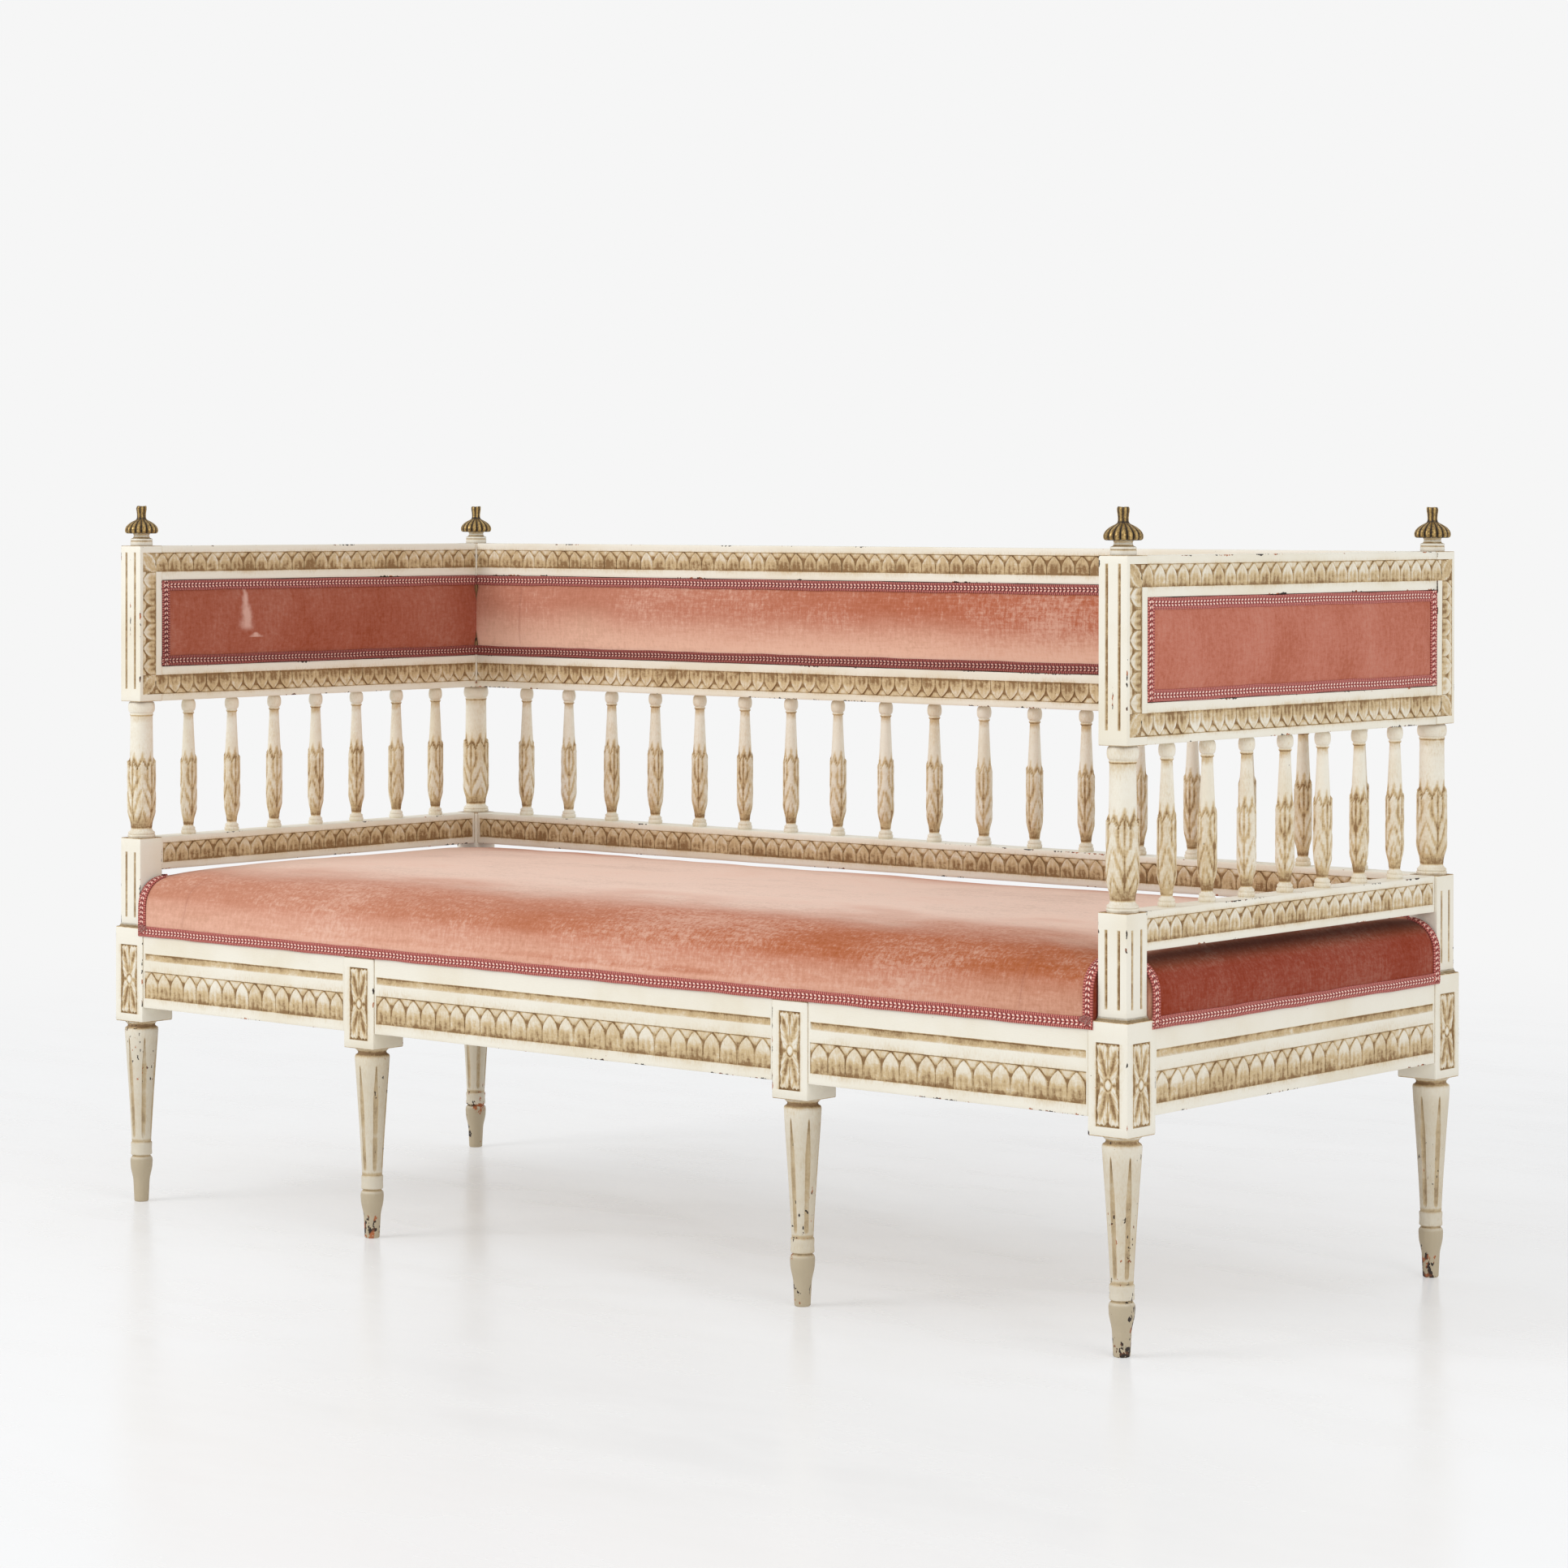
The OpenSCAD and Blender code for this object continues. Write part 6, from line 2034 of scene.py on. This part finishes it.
@dataclass(frozen=True)
class SeatGimp:
    """Braid round the foot of the seat and up its edges beside the posts."""

    half_x: float = 855.0
    half_y: float = 354.0
    width: float = 14.0
    thick: float = 1.9

    def build(self) -> Shell:
        """Makes the four bottom runs, the eight upright runs and the knots of the front."""
        shell, cushion = Shell(), SeatCushion()
        nx, ny = S.post_x - S.notch, S.post_y - S.notch
        sides = ((nx, self.half_y), (ny, self.half_x))
        mid = S.cover_z + self.width / 2
        for way in (-1, 1):
            for turned, (reach, far) in enumerate(sides):
                path = line(np.arange(-reach, reach + 1, 6.0), way * far, mid)
                self.strip(shell, path, (0, way, 0), Z, 80 + 4 * turned + way, turned)
        turn = np.radians(np.linspace(0, 84, 15))
        straight = np.arange(372.0, 409.0, 5.0)
        lean = np.append(0 * straight, turn)
        back = cushion.roll_w * (1 - np.cos(lean))
        z = np.append(straight, S.edge_z - cushion.roll_h + cushion.roll_h * np.sin(turn))
        for sx in (-1, 1):
            for sy in (-1, 1):
                for turned, (reach, far) in enumerate(sides):
                    one, two = (sy, sx) if turned else (sx, sy)
                    path = line(one * (reach - self.width / 2 + 0.2), two * (far - back), z)
                    out = line(0.0, two * np.cos(lean), np.sin(lean))
                    seed = 90 + sx + 3 * sy + 9 * turned
                    self.strip(shell, path + out * 0.35, out, (one, 0, 0), seed, turned)
            for k, (dx, dz, size) in enumerate(((3, 6, 5.0), (-6, 9, 4.2), (-1, 12, 4.0), (6, 11, 3.4))):
                spot = (sx * (nx - 9 + dx * 0.8), -self.half_y - 1.4, S.cover_z + 6 + dz * 0.6)
                knot(shell, spot, (size, 1.9, size * 0.8), 60 + k + sx)
        return shell

    def strip(
        self, shell: Shell, path: Array, out: Array | Vec, wide: Vec, seed: int, turned: int
    ) -> None:
        """Adds a strip given along the front; where it is turned, x and y change places."""
        order = [1, 0, 2] if turned else [0, 1, 2]
        path, out, wide = (np.asarray(part, float)[..., order] for part in (path, out, wide))
        gimp_strip(shell, path, out, wide, self.width, self.thick, seed)


@dataclass(frozen=True)
class PanelPad(Stuffed):
    """Thin pad of an upper frame, stretched over its board and held by gimp at its rim."""

    name: str
    node: str
    place: Place
    run: float
    open_low: bool
    open_high: bool
    seed: int
    seam_at: float | None = None

    HALF_H = 59.2
    MIDDLE = S.frame_z + S.frame_rail_h + 59.5

    def margins(self) -> tuple[float, float]:
        """Width of the flat rim at each end; where the velvet runs on, it counts past the end."""
        return (-40.0 if self.open_low else 14.0), (-40.0 if self.open_high else 14.0)

    @property
    def half(self) -> float:
        """Half the pad's length."""
        return self.run / 2 - 0.3

    def build(self, velvet: bpy.types.Material) -> None:
        """Makes the pad.

        Its front rises from the rim by a quarter of a soft curve, so that most of it is nearly
        flat, and then it is swollen as cloth.

        Args:
            velvet: its material.
        """
        x = np.linspace(-self.half, self.half, int(self.run / 7.5))
        if self.seam_at is not None:
            near = self.seam_at + np.array([-5.0, -1.5, 0.0, 1.5, 5.0])
            x = np.sort(np.concatenate([x[np.abs(x - self.seam_at) > 8], near]))
        edge = np.array([0.0, 7.0])
        z = np.concatenate([edge - self.HALF_H, np.linspace(-45.0, 45.0, 17), self.HALF_H - edge[::-1]])
        xx, zz = np.meshgrid(x, z, indexing="ij")
        inside = self.inside(xx, zz)
        front = 17.85 + 4.4 * np.sin(np.clip(inside / 30.0, 0, 1) * np.pi / 2) ** 0.7
        depth = np.hstack([front - 0.5 * (inside <= 0), np.full((len(x), 2), 3.1)])
        heights = np.hstack([zz, zz[:, -1:], zz[:, :1]]) + self.MIDDLE
        shell = Shell()
        shell.add(self.place.put(line(x[:, None], depth, heights)))
        self.make(self.name, shell, velvet, (self.node,), (5.0, 1.7, 30.0), 0.9)

    def inside(self, x: Array, z: Array) -> Array:
        """Distance in from the flat rim, for heights from the pad's middle."""
        low, high = self.margins()
        ends = np.minimum(x + self.half - low, self.half - high - x)
        return np.minimum(ends, self.HALF_H - 14 - np.abs(z))

    def settle(
        self, start: Array, points: Array, normals: Array, free: Array
    ) -> tuple[Array, Array]:
        """Adds small waves, and the leaning seam where there is one."""
        rise = waves(points, self.seed, 260.0) * 0.35 + waves(points, self.seed + 1, 60.0) * 0.1
        points = points + normals * (rise * free)[:, None]
        if self.seam_at is None:
            return points, np.zeros(len(points))
        x, _, z = self.place.within(start).T
        seam = hump(x, self.seam_at, 1.3) * free
        slant = (z - self.MIDDLE) * 0.05 * hump(x, self.seam_at, 12.0) * free
        return points - normals * (seam * 1.1)[:, None] + self.place.turn(X) * slant[:, None], seam

    def held(self, points: Array) -> Array:
        """How far the board and the gimp hold each point."""
        x, y, z = self.place.within(points).T
        rim = self.inside(x, z - self.MIDDLE)
        at_end = smooth(np.abs(x), self.half - 4.0, self.half - 0.5)
        return np.maximum.reduce([smooth(-rim, -9.0, 0.0), 1.0 * (y < 10.0), at_end])


@dataclass(frozen=True)
class PanelGimp:
    """Braid round the rim of a pad; ends that run into a corner have no upright run."""

    name: str
    place: Place
    run: float
    low: bool
    high: bool
    seed: int

    @property
    def lift(self) -> float:
        """Distance of the braid's back from the posts' axes: more where it runs into a corner."""
        return 17.9 if self.low and self.high else 18.7

    def build(self) -> Shell:
        """Makes the runs, the uprights a little over the level ones."""
        shell, width = Shell(), 13.8
        half = self.run / 2 - 0.4 + (0.0 if self.low and self.high else 1.6)
        low_z, high_z = S.frame_z + S.frame_rail_h + 0.4, S.top_z - S.frame_rail_h - 0.4
        out, across, up = (self.place.turn(way) for way in (Y, X, Z))
        x = np.linspace(-half, half, int(self.run / 6))
        for k, z in enumerate((low_z + width / 2, high_z - width / 2)):
            path = self.place.put(line(x, self.lift, z))
            gimp_strip(shell, path, out, up, width, 1.9, self.seed + k)
        for k, (wanted, way) in enumerate(((self.low, -1), (self.high, 1))):
            if not wanted:
                continue
            z = np.linspace(low_z + 0.6, high_z - 0.6, 21)
            spot = way * (self.run / 2 - 0.4 - width / 2)
            path = self.place.put(line(spot, self.lift + 0.4, z))
            gimp_strip(shell, path, out, across, width, 1.9, self.seed + 5 + k)
        return shell


@dataclass(frozen=True)
class SeatDeck:
    """Jute straps woven over and under each other, and the hessian on them."""

    strap_w: float = 50.0
    gap: float = 36.0

    def webbing(self) -> Shell:
        """Makes the straps: flat bands whose height goes up and down by a cosine."""
        shell, step = Shell(), self.strap_w + self.gap
        across = np.array([-25.0, -24.6, -12.0, 0.0, 12.0, 24.6, 25.0, 24.6, 0.0, -24.6])
        height = np.array([0.0, 0.45, 0.5, 0.5, 0.5, 0.45, 0.0, -0.45, -0.5, -0.45])
        for turn, count, reach in ((0, 7, 846.0), (1, 18, 345.0)):
            s = np.linspace(-reach, reach, int(reach / 7))
            for k in range(count):
                spot = (k - (count - 1) / 2) * step
                flip = 1.0 if (k + turn) % 2 else -1.0
                other = 18 if turn == 0 else 7
                wave = np.cos(np.pi * (s / step + (other - 1) / 2)) * flip * 0.62
                grid = line(s[:, None], spot + across, 381.5 + wave[:, None] + height)
                shell.add(grid[..., [1, 0, 2]] if turn else grid)
        return shell

    def hessian(self) -> Shell:
        """Makes the sheet: notched rings over and under it, a millimetre apart at most."""
        insets, rings = (348.0, 240.0, 120.0, 40.0), []
        for z, row in ((383.0, (*insets, 0.3)), (383.9, (0.0, *insets[::-1]))):
            for inset in row:
                ring = notched_ring(849.5 - inset, 348.5 - inset, z, 799.0, 298.0)
                ring[:, 2] += 0.05 * np.sin(ring[:, 0] / 27.4) * np.sin(ring[:, 1] / 27.4)
                rings.append(ring)
        shell = Shell()
        shell.add(np.stack(rings))
        return shell


class Studio:
    """Camera, lamps, pale floor and white surroundings."""

    CAMERA_AT = (3.6313, -4.2347, 0.9559)
    YAW, PITCH, ROLL = 40.21, -0.46, 0.07

    def build(self, groups: Groups) -> None:
        """Sets up the studio."""
        self.camera()
        self.world()
        self.floor(groups)
        self.lamp("key", (-2.6, -4.4, 3.4), (0.0, 0.0, 0.5), 2.4, 105.0)
        self.lamp("side", (4.6, -1.6, 2.6), (0.2, 0.0, 0.5), 2.2, 40.0)
        bpy.context.scene.view_settings.view_transform = "Standard"

    def camera(self) -> None:
        """Puts the camera at the photograph's viewpoint, with its lens and shift."""
        data = bpy.data.cameras.new("camera")
        data.lens, data.sensor_width, data.shift_y = 97.66, 36.0, -0.1537
        data.clip_start, data.clip_end = 0.1, 60.0
        camera = link("camera", data)
        yaw, pitch, roll = (math.radians(v) for v in (self.YAW, self.PITCH, self.ROLL))
        turn = Matrix.Rotation(yaw, 4, "Z") @ Matrix.Rotation(math.pi / 2 + pitch, 4, "X")
        turn = turn @ Matrix.Rotation(roll, 4, "Z")
        camera.matrix_world = Matrix.Translation(self.CAMERA_AT) @ turn
        bpy.context.scene.camera = camera

    @staticmethod
    def seen(g: Graph) -> object:
        """1 for rays that show what they hit: from the camera, glossy or through glass."""
        path = g.node("ShaderNodeLightPath").outputs
        straight = g.math("MAXIMUM", path["Is Camera Ray"], path["Is Glossy Ray"])
        return g.math("MAXIMUM", straight, path["Is Transmission Ray"])

    def world(self) -> None:
        """White surroundings for the eye, soft fill light for the object."""
        world = bpy.data.worlds.new("studio")
        world.use_nodes = True
        bpy.context.scene.world = world
        world.node_tree.nodes.clear()
        g = Graph(world.node_tree)
        fill = g.node("ShaderNodeBackground", {"Color": (0.96, 0.98, 1.0), "Strength": 0.78})
        white = g.node("ShaderNodeBackground", {"Color": srgb(246, 246, 246), "Strength": 1.0})
        g.node("ShaderNodeOutputWorld", {0: g.blend(self.seen(g), fill, white).outputs[0]})

    def floor(self, groups: Groups) -> None:
        """Pale floor with a faint gloss; it keeps the sofa's soft shadow, lightened by the floor's
        painted glow.
        """
        mesh = bpy.data.meshes.new("floor")
        reach = 14.0
        corners = [(-reach, -reach, 0), (reach, -reach, 0), (reach, reach, 0), (-reach, reach, 0)]
        mesh.from_pydata(corners, [], [(0, 1, 2, 3)])
        mesh.materials.append(FloorFinish("floor_paint").build(groups))
        link("floor", mesh)

    @staticmethod
    def lamp(name: str, at: Vec, target: Vec, size: float, power: float) -> None:
        """Adds a large soft lamp that looks at a target."""
        data = bpy.data.lights.new(name, "AREA")
        data.shape, data.size, data.energy = "SQUARE", size, power
        lamp = link(name, data)
        lamp.location = at
        way = np.array(target) - np.array(at)
        yaw = math.atan2(way[1], way[0]) - math.pi / 2
        lean = math.atan2(way[2], math.hypot(way[0], way[1])) + math.pi / 2
        lamp.rotation_euler = (lean, 0.0, yaw)


class Sofa:
    """The whole sofa: it makes the finishes and then each sub-assembly."""

    BACK_SEAM = -720.0

    def __init__(self, groups: Groups) -> None:
        """Makes the finishes."""
        self.paint = PaintFinish("cream_paint").build(groups)
        self.gilt = GiltFinish("antique_gilding").build(groups)
        self.seat_velvet = VelvetFinish("seat_velvet").build(groups)
        # The back, outer and inner pads use copies of the velvet with different painted light: the back
        # is paler lower down and gets the painted side light, the outer pads are nearly even, and the
        # inner pads get painted shade on faces that look to the ends.
        self.back_velvet = VelvetFinish(
            "back_velvet", face=srgb(182, 107, 80), low=srgb(233, 189, 166), fade=(0.75, 0.818),
            roll=srgb(180, 106, 84), rail_shadow=2.0,
        ).build(groups)
        self.arm_velvet = VelvetFinish(
            "arm_velvet", face=srgb(190, 116, 96), low=srgb(190, 116, 96), end=srgb(190, 117, 97),
            rail_shadow=2.0, drift=False,
        ).build(groups)
        self.inner_velvet = VelvetFinish(
            "inner_arm_velvet", end=srgb(166, 94, 74), rail_shadow=2.0, drift=False,
            patches=(
                ((-0.806, -0.155, 0.817), (0.02, 0.016, 0.032)),
                ((-0.806, -0.137, 0.778), (0.02, 0.016, 0.0035)),
            ),
        ).build(groups)
        self.gimp = GimpFinish("rose_gimp").build(groups)
        # Copy of the gimp with painted shade, for the braids of the inner and back pads: darker colours,
        # and darker still on their lower runs.
        self.shaded_gimp = GimpFinish(
            "shaded_rose_gimp", rose=srgb(204, 94, 84), pale=srgb(255, 222, 206), deep=srgb(90, 26, 26),
            low_run_shade=0.85,
        ).build(groups)
        self.pine = SimpleFinish(
            "bare_pine", srgb(208, 172, 124), srgb(166, 124, 80), 0.7, (0.06, 1.0, 1.0), 160.0
        ).build(groups)
        self.steel = SimpleFinish(
            "screw_steel", srgb(176, 176, 178), srgb(120, 118, 116), 0.4, metal=1.0
        ).build(groups)
        self.jute = SimpleFinish(
            "jute_strap", srgb(190, 160, 112), srgb(130, 102, 64), 0.85, pitch=2.4
        ).build(groups)
        self.cloth = SimpleFinish(
            "coarse_hessian", srgb(196, 168, 122), srgb(122, 96, 62), 0.9, pitch=1.8
        ).build(groups)

    def build(self) -> None:
        """Makes every piece."""
        self.uprights()
        self.rails()
        self.finials()
        self.deck()
        self.upholstery()
        self.hidden_nodes()

    def painted(self, maker: Post | MiddleLeg | SeatRail | GalleryRail | SpindleRow) -> None:
        """Makes a painted piece that stands for the CAD node of its name."""
        self.paint_shell(maker.name, maker.build())

    def paint_shell(self, node: str, shell: Shell) -> None:
        """Publishes painted surfaces that stand for a CAD node."""
        publish(f"painted_{node}", shell, self.paint, (node,))

    def uprights(self) -> None:
        """Makes the posts and the middle legs."""
        for side in (-1, 1):
            for end in (-1, 1):
                self.painted(Post(side, end))
        self.painted(MiddleLeg("middle_leg_left", S.mid_left))
        self.painted(MiddleLeg("middle_leg_right", S.mid_right))

    def rails(self) -> None:
        """Makes the seat rails, the gallery rails and the spindles."""
        face_x, face_y = S.post_x + S.rail_out, S.post_y + S.rail_out
        reach_x = S.length / 2 - S.block_w
        reach_y = S.depth / 2 - S.block_w
        half = S.block_w / 2
        front = (
            (-reach_x, S.mid_left - half),
            (S.mid_left + half, S.mid_right - half),
            (S.mid_right + half, reach_x),
        )
        self.painted(SeatRail("front_seat_rail", front_place(face_y), front, 100))
        self.painted(SeatRail("back_seat_rail", back_place(face_y), ((-reach_x, reach_x),), 110))
        for side, part in ((-1, "left"), (1, "right")):
            place = side_place(side, face_x)
            rail = SeatRail(f"side_seat_rail_{part}", place, ((-reach_y, reach_y),), 120 + side)
            self.painted(rail)
        for side, part in ((-1, "left"), (1, "right")):
            inner = (STUB, 0.0) if side < 0 else (0.0, STUB)
            place = side_place(side, S.post_x)
            for rail in gallery(part, place, S.clear_y, ((STUB, STUB), inner), 200 + side * 7):
                self.painted(rail)
            self.painted(SpindleRow(f"spindles_{part}", place, S.clear_y, 7, 66.0, 300 + side))
        ends = ((STUB, STUB), (0.0, 0.0))
        for rail in gallery("back", back_place(S.post_y), S.clear_x, ends, 230):
            self.painted(rail)
        self.painted(SpindleRow("spindles_back", back_place(S.post_y), S.clear_x, 18, 85.0, 310))

    def finials(self) -> None:
        """Makes the finials."""
        for side in (-1, 1):
            for end in (-1, 1):
                finial, corner = Finial(side, end), corner_name(side, end)
                self.paint_shell(f"finial_collar_{corner}", finial.collar())
                cap = f"finial_cap_{corner}"
                publish(f"gilded_{cap}", finial.cap(), self.gilt, (cap,), 50.0)

    def deck(self) -> None:
        """Makes the webbing and the hessian."""
        deck = SeatDeck()
        publish("woven_straps", deck.webbing(), self.jute, ("seat_webbing",), 60.0)
        nodes = ("seat_hessian",)
        sheet = publish("hessian_sheet", deck.hessian(), self.cloth, nodes, 60.0)

    def upholstery(self) -> None:
        """Makes the seat, the pads and their gimp."""
        SeatCushion().build(self.seat_velvet)
        publish("seat_braid", SeatGimp().build(), self.gimp, ("seat_gimp",), 60.0)
        pads, run = [], S.clear_y
        for part, side in (("left", -1), ("right", 1)):
            inside, outside = inner_place(side), side_place(side, S.post_x)
            pads += [
                (f"inner_{part}", inside, run, side < 0, side > 0, self.inner_velvet, None),
                (f"outer_{part}", outside, run, False, False, self.arm_velvet, None),
            ]
        front, rear = front_place(-S.post_y), back_place(S.post_y)
        pads += [
            ("back_front", front, S.clear_x, True, True, self.back_velvet, self.BACK_SEAM),
            ("back_rear", rear, S.clear_x, False, False, self.back_velvet, None),
        ]
        for k, (part, place, run, low, high, velvet, seam) in enumerate(pads):
            name, seed = f"velvet_pad_{part}", 500 + 3 * k
            PanelPad(name, f"pad_{part}", place, run, low, high, seed, seam).build(velvet)
            braid = PanelGimp(f"braid_{part}", place, run, not low, not high, 600 + 9 * k)
            shaded = part in ("inner_left", "inner_right", "back_front")
            gimp = self.shaded_gimp if shaded else self.gimp
            publish(braid.name, braid.build(), gimp, (f"gimp_{part}",), 60.0)

    def hidden_nodes(self) -> None:
        """Gives the CAD nodes that stay their own materials."""
        for name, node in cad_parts.items():
            wood = name.startswith(("cross_rail", "corner_brace", "panel_board", "joint_pegs"))
            if wood or name == "brace_screws":
                for slot in node.material_slots:
                    slot.material = self.pine if wood else self.steel


def main() -> None:
    """Builds the sofa and the studio."""
    logging.basicConfig(level=logging.INFO, format="%(name)s: %(message)s")
    groups = Groups.build()
    Studio().build(groups)
    Sofa(groups).build()
    bpy.context.view_layer.update()


if __name__ == "__main__":
    main()
